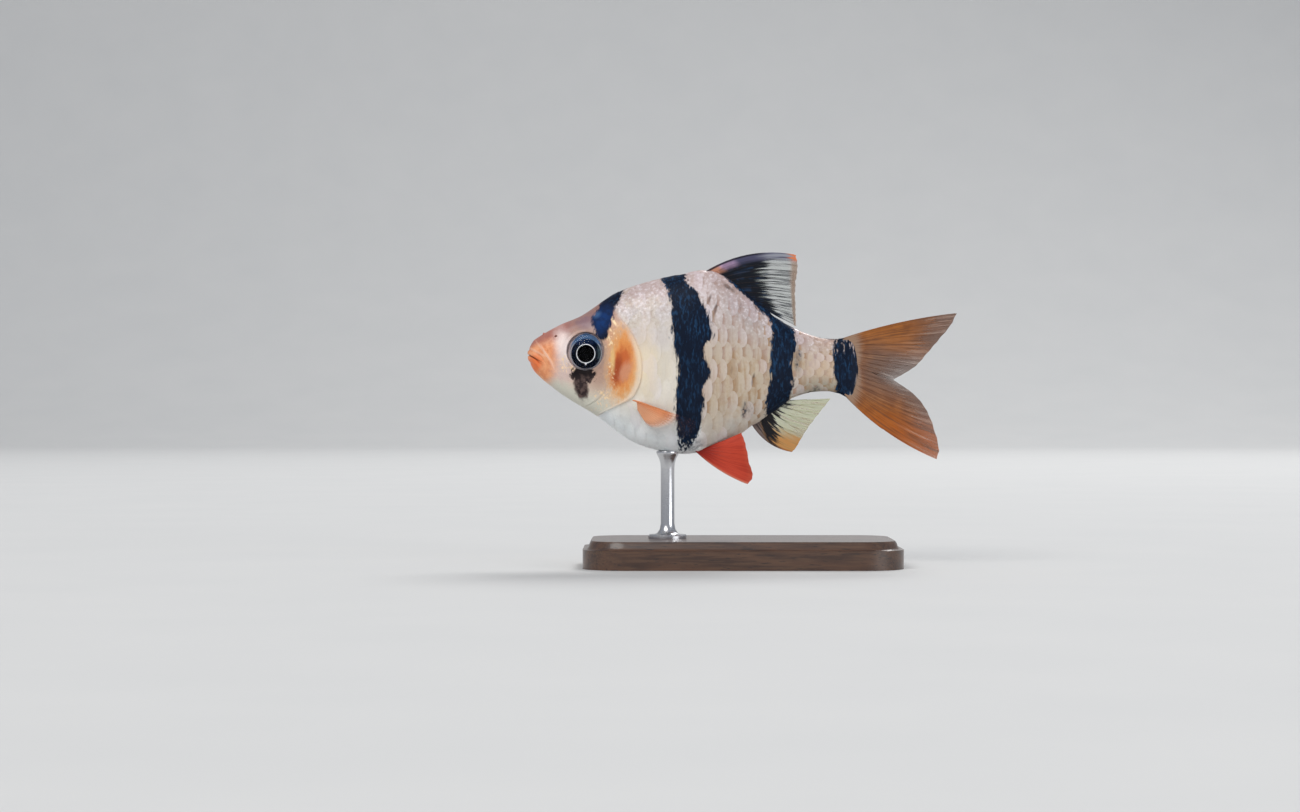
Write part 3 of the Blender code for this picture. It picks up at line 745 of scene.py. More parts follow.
def mark_strokes(behind, up, colour, wobble):
    """A few short brown strokes: on the flank behind the second bar and at the foot of the back fin."""
    for centre, reach, tilt, share in (
        ((0.548, 0.168), (0.0042, 0.015), -22, 0.75),
        ((0.566, 0.137), (0.0046, 0.024), -18, 0.85),
        ((0.604, 0.208), (0.013, 0.006), -35, 0.75),
        ((0.62, 0.196), (0.008, 0.0045), -40, 0.6),
        ((0.68, -0.074), (0.0042, 0.017), -10, 0.8),
        ((0.6425, 0.145), (0.0036, 0.012), -8, 0.45),
        ((0.69, 0.14), (0.0036, 0.013), -8, 0.45),
        ((0.615, -0.045), (0.0036, 0.012), -8, 0.4),
    ):
        stroke = spot(behind, up, centre, reach, tilt, 0.55, wobble * 1.1)
        colour = mix(stroke * share, colour, (0.085, 0.045, 0.03))
    return colour


# %% [markdown]
# The parts are joined in one group with two inputs, the place and the middle of the scale there, and three
# outputs: the colour, how black it is, and how much it shines like silver or gold.


# %% Joining the markings
def make_markings():
    """One node group with all the markings, shared by skin and scales."""
    tree = bpy.data.node_groups.new("markings", "ShaderNodeTree")
    for name in ("Place", "Root"):
        tree.interface.new_socket(name, in_out="INPUT", socket_type="NodeSocketVector")
    tree.interface.new_socket("Colour", in_out="OUTPUT", socket_type="NodeSocketColor")
    for name in ("Dark", "Shine"):
        tree.interface.new_socket(name, in_out="OUTPUT", socket_type="NodeSocketFloat")
    into, out = tree.nodes.new("NodeGroupInput"), tree.nodes.new("NodeGroupOutput")
    place, root = (Output(into.outputs[name]) for name in ("Place", "Root"))
    behind, up, _ = shares(place)
    height = span(up, LOW, LOW + SPAN)
    colour, rel, fine, cloud = mark_ground(place, behind, up)
    colour, head, gold, wobble = mark_head(place, behind, up, height, colour, rel, fine, cloud)
    root_behind, root_up, _ = shares(root)
    bar_behind = behind + (root_behind - behind) * SCALE_STEP
    bar_up = up + (root_up - up) * SCALE_STEP
    bar_height = span(bar_up, LOW, LOW + SPAN)
    dark, head_bar, streak, under_eye = mark_dark(place, bar_behind, bar_up, bar_height, wobble)
    colour = mark_strokes(behind, up, colour, wobble)
    sheen = step(streak, 0.48, 0.72) * step(cloud, 0.36, 0.58) * (0.35 + step(up, -0.17, -0.06) * 0.65)
    black = mix(sheen, NAVY, BLUE)
    colour = mix(dark, colour, black)
    # Painted highlight: the bar across the head is painted a lighter blue in its middle.
    soft = 0.55 + step(fine, 0.3, 0.62) * 0.45
    core = soft * spot(behind, up, (0.226, 0.106), (0.026, 0.04), -24, 0.75)
    blue = mix(core, (0.002, 0.005, 0.018), (0.002, 0.032, 0.14))
    corner = spot(behind, up, (0.209, 0.122), (0.012, 0.008), 30, 0.8, wobble * 0.8)
    blue = mix(corner * 0.55, blue, (0.08, 0.17, 0.34))
    colour = mix(head_bar, colour, blue)
    brown = mix(
        step(up + wobble * 0.05, -0.05, -0.085),
        (0.01, 0.006, 0.007),
        mix(step(fine, 0.36, 0.6), (0.12, 0.078, 0.07), (0.034, 0.021, 0.021)),
    )
    colour = mix(under_eye, colour, brown)
    dark = most(dark, head_bar, under_eye)
    shine = most(gold, (1.0 - head) * (1.0 - dark))
    for name, value in (("Colour", colour), ("Dark", dark), ("Shine", shine)):
        tree.links.new(value.socket, out.inputs[name])
    print("the markings take", len(tree.nodes), "nodes")
    return tree


markings = make_markings()

# %% [markdown]
# The skin is one closed piece from the lips to the root of the tail fin, so no seam shows between head, trunk
# and stalk. It grows from a small disc at the tip of the snout, which is extruded and resized ring by ring,
# as one would pull out clay on a lathe. Rings lie close together where the form is fine, round the lips and
# at the edge of the gill cover. Then the cage is subdivided and each point settles on the exact section.

# %% The cage of the skin
SIDES, CUTS = 64, 3
GILL_RING = 0.325
SNOUT_RINGS = SNOUT_ROUND * (1 - np.cos(np.linspace(0.16, math.pi / 2, 7)))
STALK_RINGS = STALK_END - STALK_ROUND * (1 - np.cos(np.linspace(math.pi / 2, 0.16, 7)))
RINGS = np.concatenate([
    SNOUT_RINGS,
    np.linspace(SNOUT_ROUND, GILL_RING - 0.004, 43)[1:],
    [GILL_RING],
    np.linspace(GILL_RING + 0.004, STALK_RINGS[0], 18)[:-1],
    STALK_RINGS,
])


def cage_of_skin():
    """The rough body: a disc at the snout, pulled out ring by ring to the stalk."""
    back, belly, _, breadth = section(RINGS)
    middle, tall = (back + belly) / 2, (back - belly) / 2
    centres = to_world(RINGS, middle)
    deselect()
    bpy.ops.mesh.primitive_circle_add(
        vertices=SIDES, radius=1, fill_type="TRIFAN", location=centres[0], rotation=(0, math.pi / 2, 0)
    )
    piece = opened("skin")
    size = (1, breadth[0] * STANDARD_LENGTH, tall[0] * STANDARD_LENGTH)
    bpy.ops.transform.resize(value=size, center_override=centres[0])
    for k in range(1, len(RINGS)):
        grow = (1, breadth[k] / breadth[k - 1], tall[k] / tall[k - 1])
        pull(centres[k] - centres[k - 1], grow, centres[k])
    bpy.ops.mesh.select_all(action="SELECT")
    bpy.ops.mesh.subdivide(number_cuts=CUTS)
    bpy.ops.mesh.normals_make_consistent(inside=False)
    freeze(piece)
    return piece, middle, tall, breadth


skin, ring_middle, ring_tall, ring_breadth = cage_of_skin()
print("the cage has", len(RINGS), "rings and", len(skin.data.polygons), "faces after subdividing")

# %% [markdown]
# The cage is only roughly round, so each of its points now keeps its direction from the middle of its ring and
# moves out to the exact section. Round the gill cover the rings are also drawn on to the cover's free edge, so
# that the step at that edge runs along one ring and doesn't cut across the faces.


# %% The exact section
def gill_edge(up):
    """Where the free edge of the gill cover lies at a height."""
    return curve_value([(h, b) for b, h in reversed(GILL_EDGE)], np.clip(up, -0.225, 0.245))


def settle_skin(piece):
    """Moves each point of the cage on to the body's surface and gives its place behind the snout."""
    points = points_of(piece)
    behind = points[:, 0] / STANDARD_LENGTH + MIDDLE
    across = -points[:, 1] / STANDARD_LENGTH / np.interp(behind, RINGS, ring_breadth)
    up = (points[:, 2] - MOUTH_HEIGHT) / STANDARD_LENGTH
    tall = (up - np.interp(behind, RINGS, ring_middle)) / np.interp(behind, RINGS, ring_tall)
    turn, reach = np.arctan2(across, tall), np.minimum(np.hypot(across, tall), 1.0)
    snout, end = behind <= RINGS[0] + 1e-5, behind >= RINGS[-1] - 1e-5
    behind = np.where(snout, RINGS[0] * reach**2, behind)
    behind = np.where(end, STALK_END - (STALK_END - RINGS[-1]) * reach**2, behind)
    behind = np.clip(behind, 1e-7, STALK_END - 1e-7)
    pull_in = step_up(behind, 0.150, GILL_RING) * (1 - step_up(behind, GILL_RING, 0.470))
    start = behind
    for _ in range(24):
        up = (body_point(behind, turn)[:, 2] - MOUTH_HEIGHT) / STANDARD_LENGTH
        edge = np.clip(gill_edge(up), 0.235, 0.3445)
        behind = 0.6 * behind + 0.4 * (start + pull_in * (edge - GILL_RING))
    set_points(piece, body_point(behind, turn))
    return behind


skin_behind = settle_skin(skin)
print("the skin is", round(float(np.ptp(points_of(skin)[:, 0])) * 1000, 1), "mm long without its tail fin")

# %% [markdown]
# A barb's head is bare of scales, so its form has to carry it: rounded lips on either side of a fine slit, the
# fold of the upper jaw, a raised rim round each eye, the ridge in front of the gill cover, and the cover
# itself, which stands proud of the flank with a free rear edge. These are far finer than any operator would
# place by hand, so each one is written as a height over the surface, and every point is moved by their sum.

# %% Heights of the head
MOUTH_LINE = [(-0.02, 0.004), (0.0, 0.001), (0.012, -0.003), (0.025, -0.012), (0.040, -0.027)]
LIP_CREASE = [
    (-0.01, 0.0200), (0.002, 0.0175), (0.020, 0.0095), (0.035, 0.001), (0.048, -0.014), (0.060, -0.032),
]
CHIN_CREASE = [(-0.01, -0.0200), (0.008, -0.0225), (0.022, -0.031), (0.034, -0.043), (0.045, -0.056)]
JAW_FOLD = [(-0.055, 0.084), (-0.029, 0.079), (-0.005, 0.070), (0.020, 0.054), (0.034, 0.040)]
CHEEK_LINE = [
    (-0.165, 0.150), (-0.150, 0.185), (-0.132, 0.215), (-0.108, 0.236), (-0.070, 0.250), (0.0, 0.2545),
    (0.060, 0.2535), (0.100, 0.246),
]
NOSTRIL, NOSTRIL_RADIUS = (0.087, 0.056), 0.24 * MM


def hump(distance, width):
    """A smooth bell, 1 at distance 0."""
    return np.exp(-((distance / width) ** 2))


def mouth_heights(behind, up):
    """Lips, slit and folds of the jaws, in metres."""
    full = STANDARD_LENGTH
    over_slit = (up - curve_value(MOUTH_LINE, np.minimum(behind, 0.040))) * full
    corner = 1 - step_up(behind, 0.034, 0.046)
    height = -0.26 * MM * hump(over_slit, 0.085 * MM) * (1 - step_up(behind, 0.030, 0.043))
    crease = curve_value(LIP_CREASE, np.minimum(behind, 0.060))
    chin = curve_value(CHIN_CREASE, np.minimum(behind, 0.045))
    slit = curve_value(MOUTH_LINE, np.minimum(behind, 0.040))
    upper = np.clip((up - slit) / (crease - slit), -0.5, 1.5)
    lower = np.clip((slit - up) / (slit - chin), -0.5, 1.5)
    height += 0.10 * MM * hump(upper - 0.5, 0.36) * (1 - step_up(behind, 0.038, 0.056))
    height += 0.08 * MM * hump(lower - 0.5, 0.38) * corner
    height -= 0.09 * MM * hump((up - crease) * full, 0.14 * MM) * (1 - step_up(behind, 0.050, 0.066))
    height -= 0.08 * MM * hump((up - chin) * full, 0.17 * MM) * (1 - step_up(behind, 0.030, 0.046))
    fold = (behind - curve_value(JAW_FOLD, np.clip(up, -0.055, 0.034))) * full
    along = step_up(up, -0.070, -0.045) * (1 - step_up(up, 0.018, 0.036))
    height += (0.09 * hump(fold + 0.32 * MM, 0.30 * MM) - 0.08 * hump(fold, 0.17 * MM)) * MM * along
    return height


# %% [markdown]
# The rim of the eye is a ring-shaped hump at a set distance from the orbit, and the nostril is made the same
# way with a small flap in front. The gill cover rises towards its free edge and then drops back to the flank
# within a few hundredths of a millimetre, which is what draws its sharp line of shadow.


# %% Eye rim, nostril and gill cover
def head_heights(behind, up, out):
    """Eye rim, nostril, cheek line and gill cover, in metres."""
    full = STANDARD_LENGTH
    from_eye = np.hypot(behind - EYE_CENTRE[0], up - EYE_CENTRE[1]) * full - ORBIT_RADIUS
    height = (0.15 * hump(from_eye - 0.14 * MM, 0.26 * MM) - 0.05 * hump(from_eye - 0.85 * MM, 0.35 * MM)) * MM
    nose = np.hypot(behind - NOSTRIL[0], up - NOSTRIL[1]) * full
    flap = hump((behind - NOSTRIL[0] - 0.001) * full, 0.10 * MM) * hump((up - NOSTRIL[1]) * full, 0.26 * MM)
    height += (0.10 * hump(nose - NOSTRIL_RADIUS - 0.06 * MM, 0.13 * MM) + 0.16 * flap) * MM
    cheek = (behind - curve_value(CHEEK_LINE, np.clip(up, -0.165, 0.100))) * full
    under_side = step_up(out, 0.5 * MM, 1.9 * MM)
    along = step_up(up, -0.185, -0.150) * (1 - step_up(up, 0.070, 0.110)) * under_side
    height += (0.07 * hump(cheek + 0.36 * MM, 0.30 * MM) - 0.07 * hump(cheek, 0.20 * MM)) * MM * along
    edge = gill_edge(up)
    ahead = (edge - behind) * full
    along = step_up(up, -0.215, -0.165) * (1 - step_up(up, 0.080, 0.125)) * under_side
    cover = step_up(ahead, -0.045 * MM, 0.0) * (0.11 + 0.12 * np.exp(-np.maximum(ahead, 0) / (2.5 * MM)))
    height += (cover + 0.05 * hump(ahead - 0.30 * MM, 0.22 * MM)) * MM * along
    seam = (up + 0.128 + 0.35 * (behind - 0.30)) * full
    under = step_up(behind, 0.245, 0.270) * (1 - step_up(behind, 0.325, 0.340))
    height += (0.05 * hump(seam - 0.20 * MM, 0.20 * MM) - 0.05 * hump(seam, 0.20 * MM)) * MM * under
    flap = hump((behind - 0.049) * full, 0.15 * MM) * hump(out - 0.55 * MM, 0.24 * MM) * (up > 0.03)
    height += 0.24 * MM * flap
    return height


# %% [markdown]
# Fins don't start at a bare surface: a low fleshy sheath rises along the base of the back fin and of the fin
# under the tail, and small mounds carry the paired fins. The flank under the scales lies a little lower, so
# that the scales fill it up and the bare head runs on into them.


# %% Roots of the fins
def fin_root_heights(points, behind, up):
    """Fleshy roots that the fins grow out of, and the bed that the scales lie in, in metres."""
    out = np.abs(points[:, 1])
    back, belly, _, _ = section(behind)
    dorsal = step_up(behind, 0.535, 0.560) * (1 - step_up(behind, 0.725, 0.745)) * (up > (back + belly) / 2)
    anal = step_up(behind, 0.672, 0.694) * (1 - step_up(behind, 0.785, 0.805)) * (up < (back + belly) / 2)
    height = (0.34 * dorsal + 0.32 * anal) * hump(out, 0.62 * MM) * MM
    chest = np.hypot(behind - 0.3325, (up + 0.152) * 0.8) * STANDARD_LENGTH
    height += 0.20 * MM * (1 - step_up(chest, 0.35 * MM, 1.15 * MM))
    hip = np.hypot((behind - 0.524) * 0.6, (out / STANDARD_LENGTH - 0.024) * 1.3) * STANDARD_LENGTH
    height += 0.28 * MM * (1 - step_up(hip, 0.25 * MM, 0.75 * MM)) * (up < -0.20)
    bed = step_up((behind - gill_edge(up)) * STANDARD_LENGTH, 0.0, 0.3 * MM) * (1 - step_up(behind, 0.97, 0.99))
    return height - 0.07 * MM * bed


points = points_of(skin)
up = (points[:, 2] - MOUTH_HEIGHT) / STANDARD_LENGTH
heights = mouth_heights(skin_behind, up) * (skin_behind < 0.11)
heights = heights + head_heights(skin_behind, up, np.abs(points[:, 1]))
heights += fin_root_heights(points, skin_behind, up)
set_points(skin, points + normals_of(skin) * heights[:, None])
print("the head's forms run from", *(round(float(h) * 1000, 2) for h in (heights.min(), heights.max())), "mm")

# %% [markdown]
# The eyes sit in real hollows. A ball flattened along the outward direction is cut out of the skin on each
# side with a Boolean, which leaves one crisp round opening, and a small one opens each nostril. Cutting comes
# after the raised rim is in place, so the rim turns over the edge as a lid of skin does.

# %% Sockets and nostrils
SOCKET_DEPTH = 1.9 * MM


def side_place(behind, up, side):
    """A point of the flank and the outward direction there. side is 1 for the left and -1 for the right."""
    turns = np.linspace(0.02, math.pi - 0.02, 2000)
    heights = (body_point(np.full(2000, behind), turns)[:, 2] - MOUTH_HEIGHT) / STANDARD_LENGTH
    turn = side * np.interp(-up, -heights, turns)
    return Vector(body_point(behind, turn)), Vector(body_normal(behind, turn)).normalized()


def cut_ball(piece, centre, axis, radius, depth):
    """Cuts a flattened ball out of a piece."""
    deselect()
    bpy.ops.mesh.primitive_uv_sphere_add(segments=96, ring_count=40, radius=1, location=centre)
    cutter = bpy.context.object
    cutter.scale = (radius, radius, depth)
    cutter.rotation_euler = axis.to_track_quat("Z", "X").to_euler()
    apply_modifier(piece, "BOOLEAN", object=cutter, operation="DIFFERENCE", solver="EXACT")
    bpy.data.objects.remove(cutter)


for side in (1, -1):
    place, axis = side_place(*EYE_CENTRE, side)
    cut_ball(skin, place - axis * 0.1 * MM, axis, ORBIT_RADIUS, SOCKET_DEPTH)
    place, axis = side_place(*NOSTRIL, side)
    cut_ball(skin, place, axis, NOSTRIL_RADIUS, 0.45 * MM)
print("skin with its hollows:", len(skin.data.polygons), "faces")

# %% [markdown]
# Skin is never one gloss. The bare head is smooth, moist and faintly pored, the flank below the scales has a
# silvery layer, and the black bars are a little duller. The markings group gives the colour, a thin clear
# coat gives the moist look of the fish in water, and small bumps break the highlights.


# %% Finish of the skin
PORE_SIZE = 0.32 * MM


def skin_finish():
    """The markings under a thin clear coat, with pores and a fine grain."""
    made, shader, place = finish_of(
        "skin", Coat_Roughness=0.22, Coat_IOR=1.4, IOR=1.45, Specular_IOR_Level=0.22
    )
    group = node(place.tree, "Group", {"Place": place, "Root": place}, node_tree=markings)
    colour, dark, shine = all_of(group)
    grain = noise(place, 0.16 * MM, 4.0)
    cells = node(place.tree, "TexVoronoi", {"Vector": place, "Scale": 1 / PORE_SIZE}, "Distance")
    pores = step(cells, 0.18, 0.32)
    wire(
        shader,
        Base_Color=shaded(colour, 0.86 + grain * 0.28),
        Roughness=0.36 + grain * 0.16 + dark * 0.26,
        Metallic=shine * step(grain, 0.35, 0.7) * 0.25,
        Coat_Weight=(1.0 - dark) * (0.22 + shine * 0.12),
        Normal=bump(grain * 0.6 + pores * 0.4, 0.02 * MM, 0.7),
    )
    return made


settled(skin, ("head", "trunk", "tail_stalk"), skin_finish(), angle=50)

# %% [markdown]
# The flank is covered with large, thin, rounded scales, about twenty along the side and twelve rows deep.
# Each lies with its root in the skin and its rear edge free over the next one, and every second row is set
# back by half a scale. One scale is modelled once: a disc, extruded to a thin plate, with its top inset so
# that the rim can turn down. Its copies are then laid along rows that follow the back and the belly.


# %% One scale
def one_scale():
    """A thin round plate of radius 1: x runs from root to rear edge, z from 0 under it to 1 on top."""
    deselect()
    bpy.ops.mesh.primitive_circle_add(vertices=18, radius=1, fill_type="NGON")
    piece = opened("scale_blank")
    pull((0, 0, 1), (1, 1, 1), (0, 0, 1))
    bpy.ops.mesh.inset(thickness=0.12)
    bpy.ops.mesh.inset(thickness=0.38)
    bpy.ops.mesh.poke()
    deselect()
    points = points_of(piece)
    round_size = np.hypot(points[:, 0], points[:, 1])
    square_size = (np.abs(points[:, 0]) ** 2.5 + np.abs(points[:, 1]) ** 2.5) ** (1 / 2.5)
    points[:, :2] *= (round_size / np.maximum(square_size, 1e-9))[:, None]
    set_points(piece, points)
    return piece


def repeated(name, blank, copies):
    """One mesh of many copies of a blank. copies holds the points of each copy."""
    count = len(blank.data.vertices)
    faces = [tuple(face.vertices) for face in blank.data.polygons]
    mesh = bpy.data.meshes.new(name)
    all_faces = [tuple(v + k * count for v in face) for k in range(len(copies)) for face in faces]
    mesh.from_pydata(np.concatenate(copies).tolist(), [], all_faces)
    made = bpy.data.objects.new(name, mesh)
    bpy.context.scene.collection.objects.link(made)
    select_only(made)
    bpy.ops.object.mode_set(mode="EDIT")
    bpy.ops.mesh.select_all(action="SELECT")
    bpy.ops.mesh.normals_make_consistent(inside=False)
    deselect()
    return made


def give_vector(piece, name, values):
    """Stores a vector for each point of a piece, for its finish to read."""
    made = piece.data.attributes.new(name, "FLOAT_VECTOR", "POINT")
    made.data.foreach_set("vector", np.asarray(values, np.float32).ravel())


scale_blank = one_scale()
blank = points_of(scale_blank)
print("one scale has", len(scale_blank.data.polygons), "faces")

# %% [markdown]
# To lay rows on a curved flank, the skin is measured first: the distance along the skin, up and down from the
# middle of the side, at many places from head to tail. A row then keeps its share of that distance, so rows
# crowd gently towards the stalk and some run out at the back and the belly, as they do on the fish.

# %% Rows along the flank
COLUMN = 1.48 * MM
ROW = 2.70 * MM
CROWDING = 0.75
SCALE_LENGTH, SCALE_HALF_HEIGHT = 2.15, 0.76
SCALE_THICKNESS, ROOT_LIFT, EDGE_LIFT = 0.020 * MM, -0.050 * MM, 0.060 * MM
MAP_PATCH, MAP_ROW, MAP_LENGTH, MAP_MIDDLE = 0.012, 0.036, 0.96, {1: 0.24, -1: 0.74}
TABLE_BEHIND = np.linspace(0.15, 1.0, 341)
TABLE_TURN = np.linspace(-0.8, math.pi + 0.8, 361)
grid = body_point(TABLE_BEHIND[:, None], TABLE_TURN[None, :])
steps = np.linalg.norm(np.diff(grid, axis=1), axis=2)
lengths = np.concatenate([np.zeros((len(grid), 1)), np.cumsum(steps, axis=1)], axis=1)
side = np.array([np.interp(math.pi / 2, TABLE_TURN, row) for row in lengths])
DOWN = lengths - side[:, None]
TO_BACK = np.array([-np.interp(0.0, TABLE_TURN, row) for row in DOWN])
TO_BELLY = np.array([np.interp(math.pi, TABLE_TURN, row) for row in DOWN])


def row_pitch(behind, upper):
    """Height of a row of scales at a place, above or below the middle of the side."""
    reach = TO_BACK if upper else TO_BELLY
    return ROW * (np.interp(behind, TABLE_BEHIND, reach) / reach.max()) ** CROWDING


def turn_at(behind, rows_up):
    """The turn of the section that lies so many rows above the middle of the side."""
    down = -np.where(rows_up > 0, rows_up * row_pitch(behind, True), rows_up * row_pitch(behind, False))
    at = np.clip((behind - TABLE_BEHIND[0]) / (TABLE_BEHIND[1] - TABLE_BEHIND[0]), 0, len(TABLE_BEHIND) - 1.001)
    low, share = at.astype(int), at % 1
    turn = np.empty(len(behind))
    for k in np.unique(low):
        here = low == k
        ends = [np.interp(down[here], DOWN[k + j], TABLE_TURN) for j in (0, 1)]
        turn[here] = ends[0] * (1 - share[here]) + ends[1] * share[here]
    return turn


def scale_centres():
    """Places behind and rows of all scales of one side."""
    centres = []
    half = SCALE_LENGTH * COLUMN / 2 / STANDARD_LENGTH
    for row in range(-6, 8):
        for column in range(40):
            behind = 0.20 + (column + 0.5 * (row % 2)) * COLUMN / STANDARD_LENGTH
            reach = np.interp(behind, TABLE_BEHIND, TO_BACK if row > 0 else TO_BELLY)
            if behind + half > 0.998 or abs(row) * row_pitch(behind, row > 0) > reach + 0.1 * ROW:
                continue
            turn = turn_at(np.array([behind]), np.array([float(row)]))
            up = (body_point(behind, turn)[0, 2] - MOUTH_HEIGHT) / STANDARD_LENGTH
            if behind + 0.55 * half > gill_edge(up):
                centres.append((behind, float(row)))
    return np.array(centres)


centres = scale_centres()
print(len(centres), "scales on each side in", len(set(centres[:, 1])), "rows")

# %% [markdown]
# Each copy of the blank is bent on to the flank. Its length becomes a place behind the snout, its breadth a
# share of a row and its height a lift along the outward direction, low at the root and raised at the free
# edge. A little chance in size and lift keeps the rows from looking stamped. Each point also keeps its place
# on the scale and the middle of the scale's open part, for the finish to read.


# %% Laying the scales
def lay_scales(name, side, seed):
    """All scales of one side, with what the finish reads and a map that gives each scale a patch."""
    random = np.random.default_rng(seed)
    half = SCALE_LENGTH * COLUMN / 2 / STANDARD_LENGTH
    count = len(centres)
    luck = random.random(count)
    size = 1 + 0.05 * random.standard_normal(count)[:, None]
    behind = centres[:, :1] + blank[:, 0] * half * size
    rows_up = centres[:, 1:] + blank[:, 1] * SCALE_HALF_HEIGHT * size
    behind = np.minimum(behind, 0.9985)
    turn = turn_at(behind.ravel(), rows_up.ravel()).reshape(behind.shape)
    from_root = (blank[:, 0] + 1) / 2
    lift = ROOT_LIFT + (EDGE_LIFT - ROOT_LIFT) * from_root * (0.92 + 0.16 * luck[:, None])
    crown = 0.010 * MM * (1 - np.minimum(np.hypot(blank[:, 0], blank[:, 1]), 1) ** 2)
    height = lift + (blank[:, 2] - 1) * SCALE_THICKNESS + crown * blank[:, 2]
    if side < 0:
        height = height - 0.006 * MM
    place = body_point(behind, turn * side) + body_normal(behind, turn * side) * height[..., None]
    made = repeated(name, scale_blank, list(place))
    exposed = turn_at(centres[:, 0] + 0.5 * half, centres[:, 1])
    root = body_point(centres[:, 0] + 0.5 * half, exposed * side)
    give_vector(made, "root", np.repeat(root, len(blank), axis=0))
    on_scale = [np.tile(blank[:, k], count) for k in (0, 1)]
    plate = np.stack([*on_scale, np.repeat(luck, len(blank))], axis=1)
    give_vector(made, "plate", plate)
    map_row = centres[:, 1] * MAP_ROW + MAP_MIDDLE[side]
    patch = np.stack([
        np.repeat(centres[:, 0] * MAP_LENGTH, len(blank)) + plate[:, 0] * MAP_PATCH / 2,
        np.repeat(map_row, len(blank)) + plate[:, 1] * MAP_PATCH / 2,
    ], axis=1)
    give_map(made, "OFBake", patch)
    return made


# %% [markdown]
# A scale is clear as a fingernail over a silvery bed. Its exposed part is palest at the free edge, a painted
# highlight, and shows tan or lilac, partly pigment and partly painted shadow, where it comes out from under the
# scale in front, which draws the fine upright columns on the flank. Rings of growth make it glint unevenly. In
# the bars the edge stays black and the middle blue.


# %% Finish of the scales
def scale_finish():
    """The markings again, with the painted shadow, the painted highlight on the rim, and the rings and glint
    that each scale has of its own.
    """
    made, shader, place = finish_of(
        "scales", Coat_Roughness=0.25, Coat_IOR=1.4, IOR=1.45, Specular_IOR_Level=0.15
    )
    root, plate = (
        node(place.tree, "Attribute", out="Vector", attribute_name=name) for name in ("root", "plate")
    )
    along, across, luck = parts(plate)
    group = node(place.tree, "Group", {"Place": place, "Root": root}, node_tree=markings)
    colour, dark, shine = all_of(group)
    pale = 1.0 - dark
    behind, up, _ = shares(place)
    grain = noise(place, 0.22 * MM, 4.0, (1, 1, 2.0))
    broad = noise(place, 4.0 * MM, 2.0, seed=2.0)
    uneven = (grain - 0.5) * 0.7
    # Partly pigment, partly painted shadow: a tan mark where the scale comes out from under the one in front.
    middle = step(abs(across) + uneven * 0.6, 1.0, 0.5)
    front = step(along + uneven * 0.4, 0.48, 0.12)
    pocket = middle * front * pale
    amount = step(behind, 0.44, 0.58) * step(broad, 0.28, 0.5) * (0.72 + luck * 0.38) * step(up, -0.27, -0.18)
    amount = most(amount, step(grain, 0.4, 0.7) * 0.12)
    tan = mix(step(broad - up * 0.6, 0.4, 0.56), (0.41, 0.275, 0.225), (0.39, 0.235, 0.125))
    streaks = step(noise(place, 0.8 * MM, 2.0, (1, 1, 6.0), seed=9.0), 0.5, 0.62)
    colour = mix(streaks * step(behind, 0.5, 0.6) * pale * step(up, -0.22, -0.1) * 0.42, colour, tan)
    colour = mix(pocket * amount, colour, tan)
    # Painted highlight: the free edge of each pale scale is painted lighter, where it would catch the light.
    rim = step(along, 0.55, 0.9) * pale * (0.04 + luck * 0.14)
    colour = mix(rim, colour, (0.84, 0.79, 0.8))
    lilac = step(luck, 0.55, 0.95) * pale * 0.2
    colour = mix(lilac, colour, (0.62, 0.54, 0.62))
    colour = shaded(colour, 0.84 + grain * 0.2 + luck * 0.1)
    sheen = noise(place, 0.3 * MM, 3.0, (1, 1, 3.5), seed=5.0)
    blue = dark * step(sheen, 0.5, 0.68) * step(along, 0.95, 0.45) * 0.55
    colour = mix(blue, colour, (0.014, 0.058, 0.135))
    rings = calculated("SINE", calculated("SQRT", along * along + across * across) * 85.0)
    fan = calculated("SINE", calculated("ARCTAN2", across, along + 1.3) * 55.0)
    relief = rings * 0.06 + fan * 0.14 + grain
    wire(
        shader,
        Base_Color=colour,
        Roughness=0.3 + grain * 0.22,
        Metallic=shine * step(grain, 0.35, 0.75) * 0.25,
        Coat_Weight=pale * (0.1 + luck * 0.25),
        Normal=bump(relief, 0.01 * MM, 0.8),
    )
    return made


scale_coat = scale_finish()
for word, side, seed in (("left", 1, 11), ("right", -1, 12)):
    settled(lay_scales(f"scales_{word}", side, seed), (), scale_coat, angle=60)
bpy.data.objects.remove(scale_blank)

# %% [markdown]
# The eye of a barb is large and looks straight out to the side. From its middle outwards there is a deep black
# pupil, a thin bright ring with a small point at its lowest place, a dark blue iris and, above it, a crescent
# of blue-grey. The ball is turned like a piece on a lathe: the edge of a disc is extruded and resized along
# the profile. A second turned shell, thin and clear, is the cornea, which gives the eye its wet depth.

# %% Eyeball and cornea
IRIS_CENTRE = (0.1765, 0.0045)
LATHE_SIDES = 64
CORNEA_THICKNESS = 0.05 * MM
BALL = [  # radius and height over the flank, in millimetres
    (0.60, -0.24), (1.12, -0.22), (1.24, -0.10), (1.30, -0.01), (1.40, -0.01), (1.48, -0.07), (1.80, -0.10),
    (2.12, -0.15), (2.20, -0.22), (2.30, -0.20), (2.70, -0.34), (3.05, -0.60), (3.15, -1.00), (2.60, -1.60),
    (1.20, -1.90),
]
LENS = [
    (0.35, 0.585), (0.80, 0.545), (1.30, 0.455), (1.80, 0.325), (2.20, 0.185), (2.60, 0.010), (2.95, -0.180),
    (3.20, -0.360),
]


